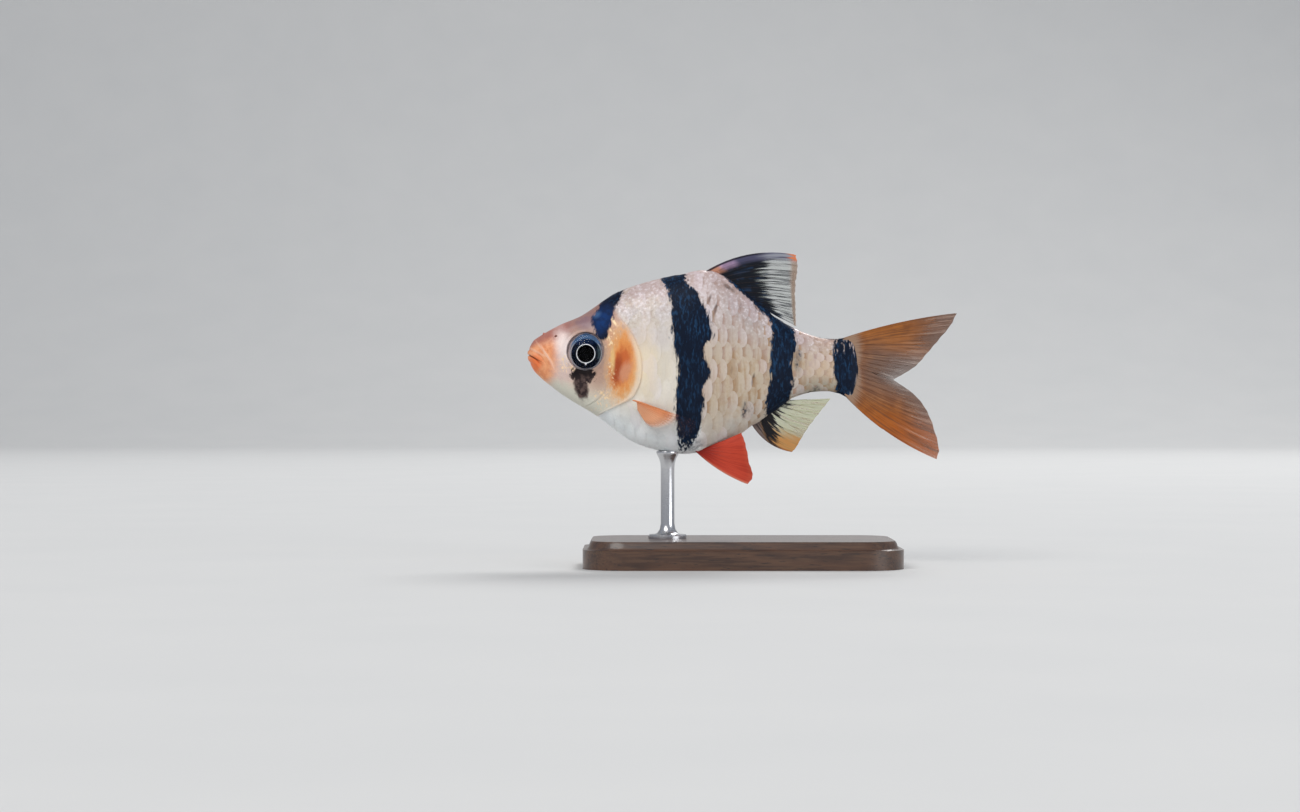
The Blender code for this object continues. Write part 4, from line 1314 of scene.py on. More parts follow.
def turned(name, profile, closed=True):
    """A round piece about Z: a disc whose edge is extruded along a profile of radii and heights."""
    deselect()
    radius, height = profile[0]
    bpy.ops.mesh.primitive_circle_add(
        vertices=LATHE_SIDES, radius=radius, fill_type="TRIFAN", location=(0, 0, height)
    )
    piece = opened(name)
    bpy.ops.mesh.region_to_loop()
    for (r, h), (r_next, h_next) in zip(profile, profile[1:]):
        pull((0, 0, h_next - h), (r_next / r, r_next / r, 1), (0, 0, h_next))
    if closed:
        bpy.ops.mesh.edge_face_add()
    bpy.ops.mesh.select_all(action="SELECT")
    bpy.ops.mesh.normals_make_consistent(inside=False)
    freeze(piece)
    return piece


def placed(piece, centre, axis):
    """Sets a piece that was made round Z at a centre, with Z along axis."""
    piece.location = centre
    piece.rotation_euler = Vector(axis).to_track_quat("Z", "X").to_euler()
    return piece


# %% [markdown]
# The eye is painted in rings about its axis, so the distance from that axis is measured once. From the middle
# outwards come the black pupil with its thin bright ring, the dark iris with a painted grey-green glint on its
# rear side, a pale line along the lower part of its edge, the blue-grey outer part with the crescent, and the
# rim in the colour of skin. The front of the outer part is painted paler, painted light against the shade of
# the socket's edge. The cornea stays clear.


# %% Paint of the eye
def eye_radius(place):
    """How far a place is from the eye's axis, behind it and above it, in millimetres, alike on both sides."""
    centre, axis = side_place(*IRIS_CENTRE, 1)
    x, y, z = parts(place)
    from_centre = vector_math("SUBTRACT", joined(x, abs(y) * -1.0, z), tuple(centre))
    radius = vector_math("LENGTH", vector_math("CROSS_PRODUCT", from_centre, tuple(axis)), out="Value")
    dx, _, dz = parts(from_centre)
    return radius * 1000.0, dx * 1000.0, dz * 1000.0


def eye_finish():
    """Pupil, bright ring, dark iris and grey crescent, by the distance from the middle of the eye."""
    made, shader, place = finish_of("eye", Specular_IOR_Level=0.06)
    radius, x, z = eye_radius(place)
    grain = noise(place, 0.12 * MM, 3.0)
    rays = noise(joined(calculated("ARCTAN2", z, x) * 9.0, radius * 0.7, 0.0), 1.0, 2.0)
    outer = mix(step(z, 0.3, 2.0), (0.24, 0.215, 0.225), (0.08, 0.155, 0.29))
    outer = mix(step(rays, 0.45, 0.7) * 0.45, outer, (0.02, 0.045, 0.1))
    # Painted light: the front of the outer part is painted paler to make up for the shade of the socket's edge.
    outer = mix(step(x, -1.7, -2.3) * step(z, 1.4, 0.6) * 0.85, outer, (0.42, 0.36, 0.37))
    iris = mix(step(rays, 0.4, 0.78), (0.001, 0.002, 0.007), (0.003, 0.01, 0.034))
    iris = mix(step(z, 0.9, 2.0) * 0.7, iris, (0.003, 0.022, 0.085))
    wide_x = abs(x)
    # Painted glint: a grey-green patch on the rear side of the iris.
    painted_glint = step(x, 1.45, 1.95) * step(abs(z - 0.3), 1.5, 0.8)
    iris = mix(painted_glint * 0.75, iris, (0.05, 0.075, 0.085))
    colour = mix(step(radius, 2.12, 2.2), iris, outer)
    line = (
        step(radius, 2.18, 2.23)
        * step(radius, 2.32, 2.26)
        * step(z, 1.75, 1.1)
        * (0.1 + step(wide_x, 0.9, 1.9) * 0.72)
    )
    colour = mix(line, colour, (0.5, 0.51, 0.55))
    rim = step(radius + wide_x * 0.15 - z * 0.07, 2.7, 2.88)
    colour = mix(rim * 0.88, colour, (0.52, 0.4, 0.38))
    wide = radius + (grain - 0.5) * 0.06
    ring = step(wide, 1.26, 1.3) * step(wide, 1.42, 1.38)
    point = step(wide_x - (z + 1.72) * 0.6, 0.03, -0.03) * step(z, -1.7, -1.62) * step(z, -1.3, -1.36)
    bright = most(ring, point)
    colour = mix(bright, colour, (0.9, 0.9, 0.92))
    colour = mix(step(radius, 1.28, 1.22), colour, (0.0005, 0.0005, 0.001))
    wire(
        shader,
        Base_Color=colour,
        Metallic=bright * 0.25,
        Roughness=0.22 + grain * 0.2,
        Normal=bump((rays + grain) * step(radius, 1.35, 1.6), 0.02 * MM, 0.5),
    )
    return made


def cornea_finish():
    """Clear, with a faint veil towards its edge."""
    made, shader, place = finish_of("cornea", Transmission_Weight=1.0, IOR=1.1)
    radius = eye_radius(place)[0]
    veil = noise(place, 0.9 * MM, 2.0)
    wire(
        shader,
        Base_Color=mix(step(radius, 2.3, 3.1), (1.0, 1.0, 1.0), (0.86, 0.88, 0.92)),
        Roughness=0.005 + veil * 0.02,
    )
    return made


eye_paint, clear = eye_finish(), cornea_finish()
for word, side in (("left", 1), ("right", -1)):
    centre, axis = side_place(*IRIS_CENTRE, side)
    ball = placed(turned(f"eye_ball_{word}", [(r * MM, h * MM) for r, h in BALL]), centre, axis)
    settled(ball, (f"eye_{word}",), eye_paint, angle=35)
    lens = placed(turned(f"eye_cornea_{word}", [(r * MM, h * MM) for r, h in LENS], closed=False), centre, axis)
    apply_modifier(lens, "SOLIDIFY", thickness=CORNEA_THICKNESS, offset=-1)
    settled(lens, (), clear, angle=60)

# %% [markdown]
# A fin is a fan of bony rays with a web as thin as film between them. The first rays of the back fin and of
# the fin under the tail are stiff single spines, and the others split twice towards the edge. Each fin is
# given by the line of its roots, the line of its tips and how far the rays bow. A place on a fin is then a
# share across the fan, from the leading edge to the last ray, and a share along the rays.

# %% Fin shapes
STALK_MIDDLE = -0.0345
FINS = {
    "dorsal_fin": {
        "slot": "dark_fin", "rays": 13, "spines": 4, "bow": [(0, -0.025), (0.3, -0.012), (0.7, 0), (1, 0)],
        "roots": [(s, b, curve_value(BACK, b) + 0.004, 0)
                  for s, b in ((0, 0.548), (0.33, 0.610), (0.67, 0.672), (1, 0.732))],
        "tips": [(0, 0.812, 0.3045, 0), (0.10, 0.8165, 0.285, 0), (0.45, 0.811, 0.205, 0),
                 (0.75, 0.811, 0.140, 0), (1, 0.812, 0.0885, 0)],
    },
    "anal_fin": {
        "slot": "amber_fin", "rays": 9, "spines": 3, "bow": [(0, 0.016), (0.5, 0.006), (1, 0)],
        "roots": [(s, b, curve_value(BELLY, b) - 0.004, 0) for s, b in ((0, 0.683), (0.5, 0.738), (1, 0.793))],
        "tips": [(0, 0.800, -0.292, 0), (0.12, 0.808, -0.285, 0), (0.5, 0.845, -0.225, 0),
                 (1, 0.918, -0.130, 0)],
    },
    "caudal_fin_upper": {
        "slot": "amber_fin", "rays": 10, "spines": 1, "fleshy": True, "bow": [(0, -0.009), (0.5, 0), (1, 0)],
        "roots": [(0, 0.972, 0.0560, 0), (0.25, 0.984, 0.038, 0), (0.6, 0.992, 0.004, 0),
                  (1, 0.994, STALK_MIDDLE, 0)],
        "tips": [(0, 1.300, 0.128, 0), (0.12, 1.286, 0.098, 0), (0.35, 1.236, 0.036, 0),
                 (0.65, 1.180, -0.028, 0), (1, 1.108, -0.0735, 0)],
    },
    "caudal_fin_lower": {
        "slot": "amber_fin", "rays": 9, "spines": 0, "phase": 1.2, "fleshy": True,
        "bow": [(0, 0), (0.5, 0.006), (1, 0.017)],
        "roots": [(0, 0.994, STALK_MIDDLE, 0), (0.4, 0.992, -0.073, 0), (0.75, 0.984, -0.106, 0),
                  (1, 0.972, -0.1325, 0)],
        "tips": [(0, 1.108, -0.0735, 0), (0.3, 1.178, -0.125, 0), (0.6, 1.222, -0.195, 0),
                 (0.88, 1.246, -0.290, 0), (1, 1.239, -0.3145, 0)],
    },
    "pectoral_fin": {
        "slot": "orange_fin", "rays": 13, "spines": 1, "bow": [(0, 0), (1, 0)],
        "roots": [(0, 0.327, -0.138, 0.0765), (0.5, 0.331, -0.151, 0.0755), (1, 0.334, -0.165, 0.0740)],
        "tips": [(0, 0.510, -0.200, 0.150), (0.15, 0.503, -0.222, 0.150), (0.5, 0.455, -0.252, 0.142),
                 (0.8, 0.408, -0.256, 0.128), (1, 0.378, -0.240, 0.113)],
    },
    "pelvic_fin": {
        "slot": "red_fin", "rays": 9, "spines": 1, "bow": [(0, 0.010), (0.5, 0.004), (1, 0)],
        "roots": [(0, 0.508, -0.287, 0.020), (0.5, 0.522, -0.285, 0.026), (1, 0.536, -0.281, 0.030)],
        "tips": [(0, 0.664, -0.388, 0.062), (0.12, 0.676, -0.374, 0.064), (0.5, 0.668, -0.318, 0.060),
                 (0.8, 0.655, -0.258, 0.056), (1, 0.645, -0.234, 0.052)],
    },
}
WEB_THICKNESS = 0.07 * MM
RAY_RADIUS = 0.100 * MM


def fin_place(fin, across, along, side=0):
    """Points of a fin at shares across its fan and along its rays, in metres."""
    root = np.stack([curve_value([(p[0], p[k]) for p in fin["roots"]], across) for k in (1, 2, 3)], axis=-1)
    tip = np.stack([curve_value([(p[0], p[k]) for p in fin["tips"]], across) for k in (1, 2, 3)], axis=-1)
    line = tip - root
    leading = np.stack([line[..., 1], -line[..., 0], 0 * line[..., 0]], axis=-1)
    leading /= np.linalg.norm(leading, axis=-1, keepdims=True)
    bend = curve_value(fin["bow"], across) * 4 * along * (1 - along)
    place = root + line * along[..., None] + leading * bend[..., None]
    wave = 0.0022 * along * np.sin(2 * math.pi * (1.2 * across + 0.4 * along + fin.get("phase", 0)) + 1.0)
    return to_world(place[..., 0], place[..., 1], (place[..., 2] + wave) * (side or 1))


def fin_frame(fin, across, along, side=0):
    """Points of a fin with the directions across the fan and out of the web."""
    place = fin_place(fin, across, along, side)
    over = fin_place(fin, across + NEAR, along, side) - fin_place(fin, across - NEAR, along, side)
    out = fin_place(fin, across, along + NEAR, side) - fin_place(fin, across, along - NEAR, side)
    over /= np.linalg.norm(over, axis=-1, keepdims=True)
    normal = np.cross(over, out)
    return place, over, normal / np.linalg.norm(normal, axis=-1, keepdims=True)


print("fins:", ", ".join(FINS))

# %% [markdown]
# The web starts as a plain grid, which already has the right order of faces. Each of its points is sent to its
# place on the fan, its outer edge is drawn in a little between the rays and nicked here and there, as in any
# living fin, and a Solidify modifier gives it the thickness of film.


# %% A web
def web_of(name, fin, side, random):
    """The thin web of a fin, with a map of shares across and along."""
    columns, rows = (fin["rays"] - 1) * 6, 26
    deselect()
    bpy.ops.mesh.primitive_grid_add(x_subdivisions=columns, y_subdivisions=rows, size=1)
    piece = bpy.context.object
    piece.name = piece.data.name = name
    grid = points_of(piece)
    across, along = grid[:, 0] + 0.5, grid[:, 1] + 0.5
    between = np.abs(np.sin(math.pi * across * (fin["rays"] - 1)))
    nicks = np.interp(across, np.linspace(0, 1, 2 * fin["rays"]), random.random(2 * fin["rays"]) ** 3)
    reach = 1 - 0.007 * between - 0.012 * nicks * np.sin(math.pi * across)
    along = -0.06 + along * (reach + 0.06)
    set_points(piece, fin_place(fin, across, along, side))
    for layer in list(piece.data.uv_layers):
        piece.data.uv_layers.remove(layer)
    give_map(piece, "fan", np.stack([across, np.clip(along, 0, 1)], axis=1))
    apply_modifier(piece, "SOLIDIFY", thickness=WEB_THICKNESS, offset=0)
    if fin.get("fleshy"):
        points = points_of(piece)
        points[:, 1] *= 1 + 11 * np.exp(-((np.maximum(np.tile(along, 2), 0) / 0.085) ** 2))
        set_points(piece, points)
    return piece


# %% [markdown]
# One spine and one branching ray are modelled as blanks. A strand is a small six-sided disc, extruded and
# narrowed step by step. A branching ray is a stem, then two strands that part from it, then four. The blanks
# are copied along the fan and bent with it, so every ray follows the bow of its fin.

# %% Blanks for spine and ray
RAY_SIDES = 6
SPINE_STRANDS = [(0.0, 0.0, -0.05, 0.985, 1.20, 0.40, 12)]
BRANCHING = [
    (0.0, 0.0, -0.05, 0.42, 1.0, 0.75, 6),
    (0.0, -0.22, 0.36, 0.70, 0.66, 0.55, 5), (0.0, 0.22, 0.36, 0.70, 0.66, 0.55, 5),
    (-0.20, -0.36, 0.64, 0.975, 0.50, 0.36, 4), (-0.20, -0.11, 0.64, 0.975, 0.50, 0.36, 4),
    (0.20, 0.11, 0.64, 0.975, 0.50, 0.36, 4), (0.20, 0.36, 0.64, 0.975, 0.50, 0.36, 4),
]


def ray_blank(name, strands):
    """A ray about Z: each strand runs from one offset and height to another and narrows on the way."""
    deselect()
    offsets, made = [], None
    for first, last, low, high, wide, thin, pieces in strands:
        if made is not None:
            bpy.ops.mesh.select_all(action="DESELECT")
        bpy.ops.mesh.primitive_circle_add(
            vertices=RAY_SIDES, radius=wide, fill_type="NGON", location=(first, 0, low)
        )
        if made is None:
            made = opened(name)
        shift, shrink = ((last - first) / pieces, 0, (high - low) / pieces), (thin / wide) ** (1 / pieces)
        for k in range(1, pieces + 1):
            pull(shift, (shrink, shrink, 1), (first + k * shift[0], 0, low + k * shift[2]))
        offsets += [(first, last, low, high)] * (RAY_SIDES * (pieces + 1))
    bpy.ops.mesh.select_all(action="SELECT")
    bpy.ops.mesh.normals_make_consistent(inside=False)
    freeze(made)
    points, offsets = points_of(made), np.array(offsets)
    share = (points[:, 2] - offsets[:, 2]) / (offsets[:, 3] - offsets[:, 2])
    middle = offsets[:, 0] + share * (offsets[:, 1] - offsets[:, 0])
    return made, middle, points[:, 0] - middle, points[:, 1], points[:, 2]


spine_blank = ray_blank("spine_blank", SPINE_STRANDS)
branch_blank = ray_blank("branch_blank", BRANCHING)
print("a branching ray has", len(branch_blank[0].data.polygons), "faces")


# %% [markdown]
# A ray is then copied to its share across the fan and bent along it. The first and the last ray keep their
# branches inside the fan, the leading ray is stouter, every ray gets thinner towards its tip, and no two end at
# quite the same length.


# %% Rays of a fin
def rays_of(name, fin, side, random):
    """All rays of a fin, as one mesh with the same map as the web."""
    gaps = fin["rays"] - 1
    groups = []
    kinds = ((spine_blank, range(fin["spines"])), (branch_blank, range(fin["spines"], fin["rays"])))
    for (blank, middle, wide, thick, along), chosen in kinds:
        copies, maps = [], []
        for i in chosen:
            inward = np.where(np.full(len(middle), i == gaps), -np.abs(middle), middle)
            inward = np.where(np.full(len(middle), i == 0), np.abs(inward), inward)
            across = np.clip((i + inward) / gaps, 0, 1)
            reach = along * (1.0 - 0.010 * random.random())
            place, over, normal = fin_frame(fin, across, reach, side)
            radius = RAY_RADIUS * (1.5 if i == 0 else 1.0) * (1 - 0.30 * np.clip(reach, 0, 1))
            copies.append(place + over * (wide * radius)[:, None] + normal * (thick * radius)[:, None])
            maps.append(np.stack([across, np.clip(reach, 0, 1)], axis=1))
        if copies:
            made = repeated(f"{name}_{blank.name}", blank, copies)
            give_map(made, "fan", np.concatenate(maps))
            groups.append(made)
    select_only(groups[0])
    for other in groups[1:]:
        other.select_set(True)
    if len(groups) > 1:
        bpy.ops.object.join()
    groups[0].name = groups[0].data.name = name
    return groups[0]


# %% [markdown]
# Each fin has its own colour, but one recipe serves them all: a ground colour, a pigment that reaches a
# certain share along the rays and ends in ragged streaks, and a web that turns clear beyond it. The map of
# shares across and along the fan carries the pattern, so streaks follow the rays. The rays get the same
# finish, only denser than the web.


# %% Map of a fin and colours of the back fin
def fan_parts(tree, count):
    """Shares across and along a fin, and streaks that follow its rays."""
    across, along, _ = parts(node(tree, "UVMap", uv_map="fan"))
    return across, along, noise(joined(across * count, along * 1.6, 0.0), 1.0, 3.0, rough=0.6)


def paint_dorsal(across, along, streak, cloud, is_ray):
    """Black base with bluish clouds, clear streaked web, dark front edge and orange tip."""
    ragged = streak - 0.5
    reach = curve(across, [(0, 0.66), (0.06, 0.68), (0.16, 0.62), (0.35, 0.54), (0.6, 0.46), (1, 0.46)])
    far = reach + ragged * 0.9 - along + (0.16 if is_ray else 0.0)
    dark = step(far, -0.12, 0.12)
    black = mix(step(cloud, 0.45, 0.62) * step(streak, 0.45, 0.6), (0.003, 0.005, 0.01), (0.01, 0.026, 0.06))
    clear = mix(step(streak, 0.4, 0.62), (0.3, 0.34, 0.3), (0.055, 0.065, 0.07))
    colour = mix(dark, clear, black)
    front = step(across + ragged * 0.12, 0.15, 0.06)
    violet = front * step(along, 0.16, 0.3) * (0.45 + streak * 0.8)
    colour = mix(violet * 0.85, colour, (0.095, 0.09, 0.165))
    pale = step(across, 0.16, 0.05) * step(along, 0.5, 0.72) * step(streak, 0.62, 0.42)
    colour = mix(pale * 0.85, colour, (0.34, 0.35, 0.4))
    broken = 0.62 + step(cloud, 0.38, 0.56) * 0.38
    lilac = step(across, 0.16, 0.06) * step(along, 0.34, 0.2) * step(along, 0.05, 0.12) * broken
    colour = mix(lilac * 0.95, colour, (0.52, 0.35, 0.52))
    peach = step(across, 0.19, 0.09) * step(along, 0.15, 0.07) * broken
    colour = mix(peach * 0.9, colour, (0.55, 0.25, 0.16))
    line = step(across, 0.03, 0.012) * step(along, 0.75, 0.55)
    colour = mix(line * 0.9, colour, (0.02, 0.018, 0.032))
    edge = step(along, 0.87, 0.95) * step(across, 0.06, 0.16)
    colour = mix(edge * 0.8, colour, (0.34, 0.18, 0.08))
    tip = step(along + ragged * 0.25, 0.89, 0.97) * step(across, 0.15, 0.06)
    colour = mix(tip, colour, (0.7, 0.21, 0.085))
    film = 0.2 + step(streak, 0.48, 0.62) * 0.3
    return colour, most(film, dark, front * 0.95, tip, edge * 0.5, lilac, pale * 0.85)


# %% [markdown]
# The fin under the tail goes from brown front rays over a ragged black band and an orange field to a pale clear
# rear. The tail fin is orange-brown with fine light and dark streaks, greyer and clearer towards the fork.


# %% Colours of anal and tail fin
def paint_anal(across, along, streak, is_ray):
    """Brown front rays, a black band running out in hairs, an orange field and a pale clear rear."""
    ragged = streak - 0.5
    reach = curve(
        across, [(0, 0.6), (0.08, 0.6), (0.18, 0.5), (0.32, 0.34), (0.5, 0.17), (0.7, 0.08), (1, 0.02)]
    )
    far = reach + ragged * 1.25 - along + (0.2 if is_ray else 0.0)
    dark = step(far, -0.09, 0.09)
    front = step(along + across * 2.6 + ragged * 0.5, 0.56, 0.38)
    dark = dark * (1.0 - front * 0.85)
    rear = step(across + ragged * 0.35 - along * 0.15, 0.1, 0.36)
    colour = mix(rear, (0.56, 0.27, 0.08), (0.52, 0.53, 0.32))
    colour = mix(step(streak, 0.46, 0.62) * 0.5, colour, (0.38, 0.25, 0.1))
    brown = mix(step(streak, 0.42, 0.58), (0.22, 0.16, 0.14), (0.05, 0.036, 0.034))
    colour = mix(front, colour, brown)
    cover = blend(rear, 0.88, 0.46)
    colour = mix(dark, colour, (0.008, 0.008, 0.01))
    edge = step(across, 0.07, 0.02) * step(along, 0.42, 0.6)
    colour = mix(edge * 0.85, colour, mix(step(along, 0.62, 0.85), (0.05, 0.028, 0.02), (0.36, 0.13, 0.035)))
    return colour, most(cover, dark, edge * 0.95)


def paint_caudal(across, along, streak, cloud, behind, up):
    """Orange-brown lobes with fine streaks, greyer and clearer towards the fork."""
    middle = spot(behind, up, (1.085, -0.045), (0.09, 0.08), -10, 0.75)
    rear = step(along, 0.45, 1.0)
    colour = mix(step(cloud, 0.35, 0.65), (0.37, 0.125, 0.026), (0.27, 0.085, 0.018))
    colour = mix(rear * 0.7, colour, (0.15, 0.08, 0.055))
    colour = mix(middle * 0.75, colour, (0.16, 0.11, 0.09))
    low = step(up, -0.12, -0.24) * step(across, 0.45, 0.85) * 0.88
    colour = mix(low, colour, (0.46, 0.115, 0.014))
    high = spot(behind, up, (1.12, 0.045), (0.1, 0.03), -22, 0.7) * 0.5
    colour = mix(high, colour, (0.44, 0.155, 0.034))
    colour = mix(step(streak, 0.46, 0.62) * 0.65, colour, (0.12, 0.05, 0.026))
    colour = mix(step(streak, 0.44, 0.3) * 0.36, colour, (0.5, 0.26, 0.11))
    root = step(along + (streak - 0.5) * 0.25, 0.13, 0.02)
    colour = mix(root * 0.75, colour, (0.34, 0.24, 0.17))
    cover = blend(step(along, 0.4, 1.0), 0.98, 0.66) - middle * 0.18
    return colour, cover - step(streak, 0.5, 0.36) * step(along, 0.3, 0.7) * 0.16


# %% [markdown]
# The pelvic fins are plain red and almost solid. The pectoral fins are nearly invisible in life apart from the
# orange along their first rays, so their outer part is left clear.


# %% Colours of the paired fins
def paint_pelvic(across, along, streak):
    """Red fans, darker at the root."""
    colour = mix(step(along, 0.05, 0.55), (0.3, 0.018, 0.01), (0.56, 0.06, 0.028))
    colour = mix(step(streak, 0.46, 0.62) * 0.45, colour, (0.34, 0.022, 0.012))
    colour = mix(step(along, 0.88, 1.0) * 0.4, colour, (0.58, 0.11, 0.06))
    pale = step(across, 0.05, 0.01) * step(along, 0.05, 0.35) * 0.55
    colour = mix(pale, colour, (0.7, 0.26, 0.16))
    return colour, blend(step(along, 0.6, 1.0), 0.98, 0.9)


def paint_pectoral(across, along, streak):
    """A clear fan, orange along its first rays and at the root."""
    colour = mix(step(across, 0.02, 0.4), (0.84, 0.3, 0.12), (0.82, 0.4, 0.22))
    colour = mix(step(along, 0.5, 1.0) * step(across, 0.15, 0.6) * 0.7, colour, (0.82, 0.62, 0.5))
    colour = mix(step(streak, 0.46, 0.62) * 0.25, colour, (0.7, 0.26, 0.12))
    fade = step(along + across * 0.1 + streak * 0.16, 0.5, 0.8)
    return colour, blend(fade, 0.9, 0.004)


# %% [markdown]
# Webs and rays get a finish each from the same recipe. The rays are darker, fine joints cross them, and except
# in the pectoral fins they are never quite clear, so they stay readable where the web fades out.


# %% Making the fins
def fin_finish(kind, is_ray):
    """The finish of a fin's web or of its rays."""
    made, shader, place = finish_of(kind + ("_rays" if is_ray else "_web"), Specular_IOR_Level=0.18)
    across, along, streak = fan_parts(place.tree, 22.0 if kind == "anal" else 34.0)
    behind, up, _ = shares(place)
    cloud = noise(place, 1.6 * MM, 3.0)
    if kind == "dorsal":
        colour, cover = paint_dorsal(across, along, streak, cloud, is_ray)
    elif kind == "anal":
        colour, cover = paint_anal(across, along, streak, is_ray)
    elif kind == "caudal":
        colour, cover = paint_caudal(across, along, streak, cloud, behind, up)
    elif kind == "pelvic":
        colour, cover = paint_pelvic(across, along, streak)
    else:
        colour, cover = paint_pectoral(across, along, streak)
    relief = streak
    if is_ray:
        deep = blend(step(across, 0.08, 0.2), 0.1, 0.55) if kind == "dorsal" else 0.12
        colour = mix(deep, colour, (0.03, 0.02, 0.02))
        least = 0.002 if kind == "pectoral" else 0.22
        cover = least + cover * (1 - least)
        relief = calculated("SINE", along * 210.0) * 0.3 + streak
    wire(
        shader,
        Base_Color=colour,
        Alpha=cover,
        Roughness=0.34 + streak * 0.2,
        Coat_Weight=step(streak, 0.3, 0.7) * 0.08,
        Normal=bump(relief, 0.02 * MM, 0.6),
    )
    return made


fin_random = np.random.default_rng(5)
finishes = {}
for name, fin in FINS.items():
    kind = name.split("_")[0]
    if kind not in finishes:
        finishes[kind] = fin_finish(kind, False), fin_finish(kind, True)
    paired = kind in ("pectoral", "pelvic")
    for side, word in ((1, "_left"), (-1, "_right")) if paired else ((0, ""),):
        solid = name + word
        settled(web_of(solid + "_web", fin, side, fin_random), (solid,), finishes[kind][0])
        settled(rays_of(solid + "_rays", fin, side, fin_random), (), finishes[kind][1])
for blank in (spine_blank, branch_blank):
    bpy.data.objects.remove(blank[0])

# %% [markdown]
# The stand is plain joinery: a small board of dark wood with rounded corners and a moulded upper edge, and one
# polished steel rod with a collar at its foot and a small cup that takes the belly. The board starts as a
# block whose upright edges are bevelled. Its top is then inset and raised in two steps.

# %% Board and rod
BASE_LENGTH, BASE_WIDTH, BASE_CORNER, BLOCK_HEIGHT = 0.046, 0.025, 0.006, 2.5 * MM
MOULDING = [  # how far in and how far up each step goes, in millimetres
    (0.0, 0.25), (0.45, 0.0), (0.25, 0.15), (0.18, 0.30), (0.12, 0.45), (0.25, 0.35),
]
ROD_AT = 0.423


def make_board():
    """A block with rounded corners, and a moulded upper edge in small steps."""
    deselect()
    bpy.ops.mesh.primitive_cube_add(size=1, location=(0, 0, BLOCK_HEIGHT / 2))
    piece = opened("stand_board")
    size = (BASE_LENGTH, BASE_WIDTH, BLOCK_HEIGHT)
    bpy.ops.transform.resize(value=size, center_override=(0, 0, BLOCK_HEIGHT / 2))
    deselect()
    points = points_of(piece)
    choose(piece, "EDGE", lambda edge: np.ptp(points[list(edge.vertices), :2], axis=0).max() < 1e-3 * MM)
    bpy.ops.mesh.bevel(offset=BASE_CORNER, segments=12, affect="EDGES")
    deselect()
    top = max(face.center.z for face in piece.data.polygons)
    choose(piece, "FACE", lambda face: face.center.z > top - 0.01 * MM)
    for inward, rise in MOULDING:
        if inward:
            bpy.ops.mesh.inset(thickness=inward * MM, depth=rise * MM)
        else:
            bpy.ops.mesh.extrude_region_move(TRANSFORM_OT_translate={"value": (0, 0, rise * MM)})
    deselect()
    return piece


# %% [markdown]
# The wood has wide bands, fine fibres that are stretched along the board, and dark pores between them, all
# under varnish. The steel is one bright metal with faint rings left by the lathe.


# %% Wood, steel and the two pieces of the stand
def wood_finish():
    """Dark wood with bands and fine fibres along the board, under a coat of varnish."""
    made, shader, place = finish_of("stand_wood", Coat_Roughness=0.16, IOR=1.5, Coat_Weight=0.5)
    warp = noise(place, 9.0 * MM, 2.0, (3.0, 1, 1))
    _, y, z = parts(place)
    bands = y * 300.0 + z * 180.0 + warp * 5.0
    grain = calculated("PINGPONG", bands, 0.5)
    fibre = noise(place, 0.28 * MM, 4.0, (14.0, 1, 1))
    pore = step(noise(place, 0.22 * MM, 2.0, (9.0, 1, 1), seed=4.0), 0.6, 0.68)
    colour = mix(grain * 2.0, (0.085, 0.036, 0.017), (0.04, 0.016, 0.008))
    colour = mix(step(fibre, 0.4, 0.68) * 0.6, colour, (0.115, 0.055, 0.026))
    colour = mix(pore * 0.8, colour, (0.012, 0.006, 0.004))
    wire(
        shader, Base_Color=colour, Roughness=0.3 + fibre * 0.22, Normal=bump(fibre - pore * 0.6, 0.03 * MM, 0.5)
    )
    return made


def steel_finish():
    """Polished steel with faint rings from the lathe."""
    made, shader, place = finish_of("stand_steel", Metallic=1.0)
    rings = noise(place, 0.1 * MM, 3.0, (12.0, 12.0, 1))
    smear = noise(place, 2.5 * MM, 3.0)
    colour = mix(smear, (0.62, 0.62, 0.63), (0.5, 0.5, 0.52))
    wire(shader, Base_Color=colour, Roughness=0.14 + (rings + smear) * 0.1, Normal=bump(rings, 0.004 * MM, 0.5))
    return made


settled(make_board(), ("stand_base",), wood_finish(), angle=35)
board_top = BASE_HEIGHT * 1000
cup = (MOUTH_HEIGHT + curve_value(BELLY, ROD_AT) * STANDARD_LENGTH) * 1000
rod = turned("stand_rod_turned", [(r * MM, h * MM) for r, h in (
    (2.0, board_top - 0.3), (2.75, board_top - 0.3), (2.8, board_top + 0.05), (2.8, board_top + 0.45),
    (2.65, board_top + 0.62), (1.75, board_top + 0.70), (1.5, board_top + 0.85), (1.15, board_top + 1.35),
    (1.0, board_top + 2.2), (1.0, cup - 2.4), (1.05, cup - 1.6), (1.25, cup - 0.9), (1.55, cup - 0.35),
    (1.65, cup - 0.05), (1.60, cup + 0.12), (1.2, cup + 0.2),
)])
rod.location = (to_world(ROD_AT, 0.0)[0], 0, 0)
settled(rod, ("stand_rod",), steel_finish(), angle=35)

# %% [markdown]
# The set is plain: a pale floor that curves up far behind the fish, so there is no line at the horizon. The
# floor is not part of the object, so it is declared as stage.

# %% Floor
FLOOR_LENGTH, FLOOR_DEPTH = 5.0, 2.4
COVE_RADIUS, COVE_STEPS, WALL_HEIGHT = 0.5, 16, 1.6


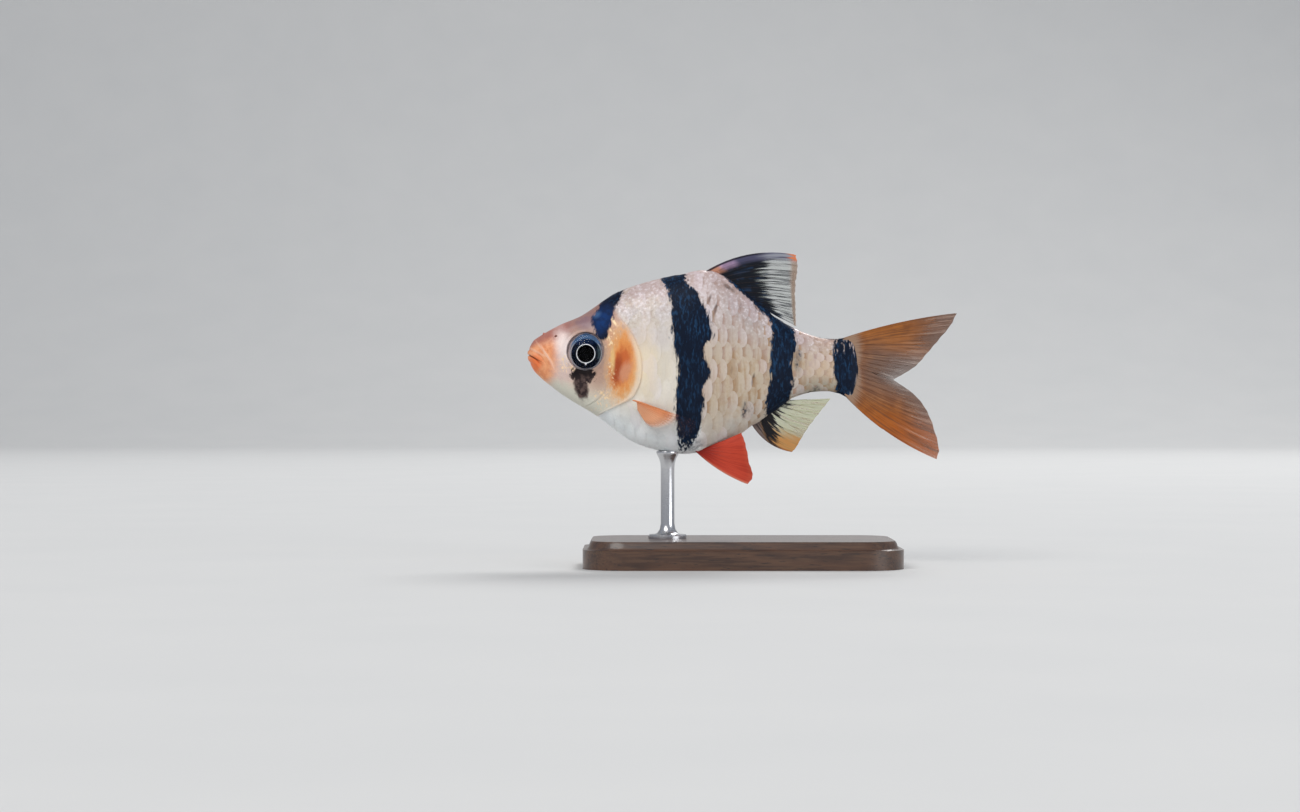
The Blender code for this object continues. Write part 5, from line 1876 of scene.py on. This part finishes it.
def make_floor():
    """A plane whose far edge is pulled up in a quarter circle and on to a wall."""
    deselect()
    bpy.ops.mesh.primitive_plane_add(size=1, location=(0, 0, 0))
    piece = opened("floor")
    bpy.ops.transform.resize(value=(FLOOR_LENGTH, FLOOR_DEPTH, 1), center_override=(0, 0, 0))
    deselect()
    points = points_of(piece)
    choose(piece, "EDGE", lambda edge: points[list(edge.vertices), 1].min() > 0)
    for k in range(COVE_STEPS):
        a, b = (math.pi / 2 * j / COVE_STEPS for j in (k, k + 1))
        shift = (0, COVE_RADIUS * (math.sin(b) - math.sin(a)), COVE_RADIUS * (math.cos(a) - math.cos(b)))
        bpy.ops.mesh.extrude_region_move(TRANSFORM_OT_translate={"value": shift})
    bpy.ops.mesh.extrude_region_move(TRANSFORM_OT_translate={"value": (0, 0, WALL_HEIGHT)})
    deselect()
    made, shader, place = finish_of("paper", Roughness=0.85)
    wire(shader, Base_Color=mix(noise(place, 30 * MM, 3.0), (0.60, 0.60, 0.59), (0.64, 0.635, 0.62)))
    piece.data.materials.append(made)
    select_only(piece)
    bpy.ops.object.shade_smooth_by_angle(angle=math.radians(60))
    piece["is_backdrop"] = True
    return piece


floor = make_floor()
print("floor reaches", tuple(round(v, 2) for v in floor.dimensions), "m")

# %% [markdown]
# A soft key light from the front and above, a wide fill and a light from behind give the flank its sheen and
# the fins their glow. The camera looks straight across at the fish's left side, as the picture does, from
# far enough away that the fish isn't distorted.


# %% Light and camera
def area_light(name, place, aim, size, power, tint=(1, 1, 1)):
    """A round, soft lamp that shines from one place at another."""
    made = bpy.data.lights.new(name, "AREA")
    made.shape, made.size, made.energy, made.color = "DISK", size, power, tint
    lamp = bpy.data.objects.new(name, made)
    lamp.location = place
    lamp.rotation_euler = (Vector(aim) - Vector(place)).to_track_quat("-Z", "Y").to_euler()
    bpy.context.scene.collection.objects.link(lamp)


AIM = (0.0, 0.0, 0.028)
area_light("key", (-0.62, -1.00, 1.05), AIM, 1.00, 12.0, (1.0, 0.98, 0.95))
area_light("fill", (1.05, -0.85, 0.14), AIM, 0.90, 7.0, (0.96, 0.98, 1.0))
area_light("back", (0.40, 0.95, 1.10), AIM, 0.70, 12.0)
world = bpy.data.worlds.new("studio")
world.use_nodes = True
sky = world.node_tree.nodes["Background"]
sky.inputs["Color"].default_value = (0.85, 0.90, 1.0, 1)
sky.inputs["Strength"].default_value = 0.45
bpy.context.scene.world = world
bpy.context.scene.view_settings.view_transform = "Standard"

SENSOR, DISTANCE, PICTURE_WIDTH = 36.0, 0.42, 0.18909
PICTURE_MIDDLE = (-0.01335, 0.02328)
camera = bpy.data.objects.new("camera", bpy.data.cameras.new("camera"))
camera.data.sensor_width = SENSOR
camera.data.lens = SENSOR * DISTANCE / PICTURE_WIDTH
camera.location = (PICTURE_MIDDLE[0], -DISTANCE, PICTURE_MIDDLE[1])
camera.rotation_euler = (math.pi / 2, 0, 0)
camera.data.clip_start = 0.01
bpy.context.scene.collection.objects.link(camera)
bpy.context.scene.camera = camera

# %% [markdown]
# Last, the size of the dressed fish is printed beside the size of the solids.

# %% Sizes
made_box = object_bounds()
for words, box in (("solids", cad_box), ("looks", made_box)):
    print(words, [round((box[1][k] - box[0][k]) * 1000, 2) for k in range(3)], "mm")
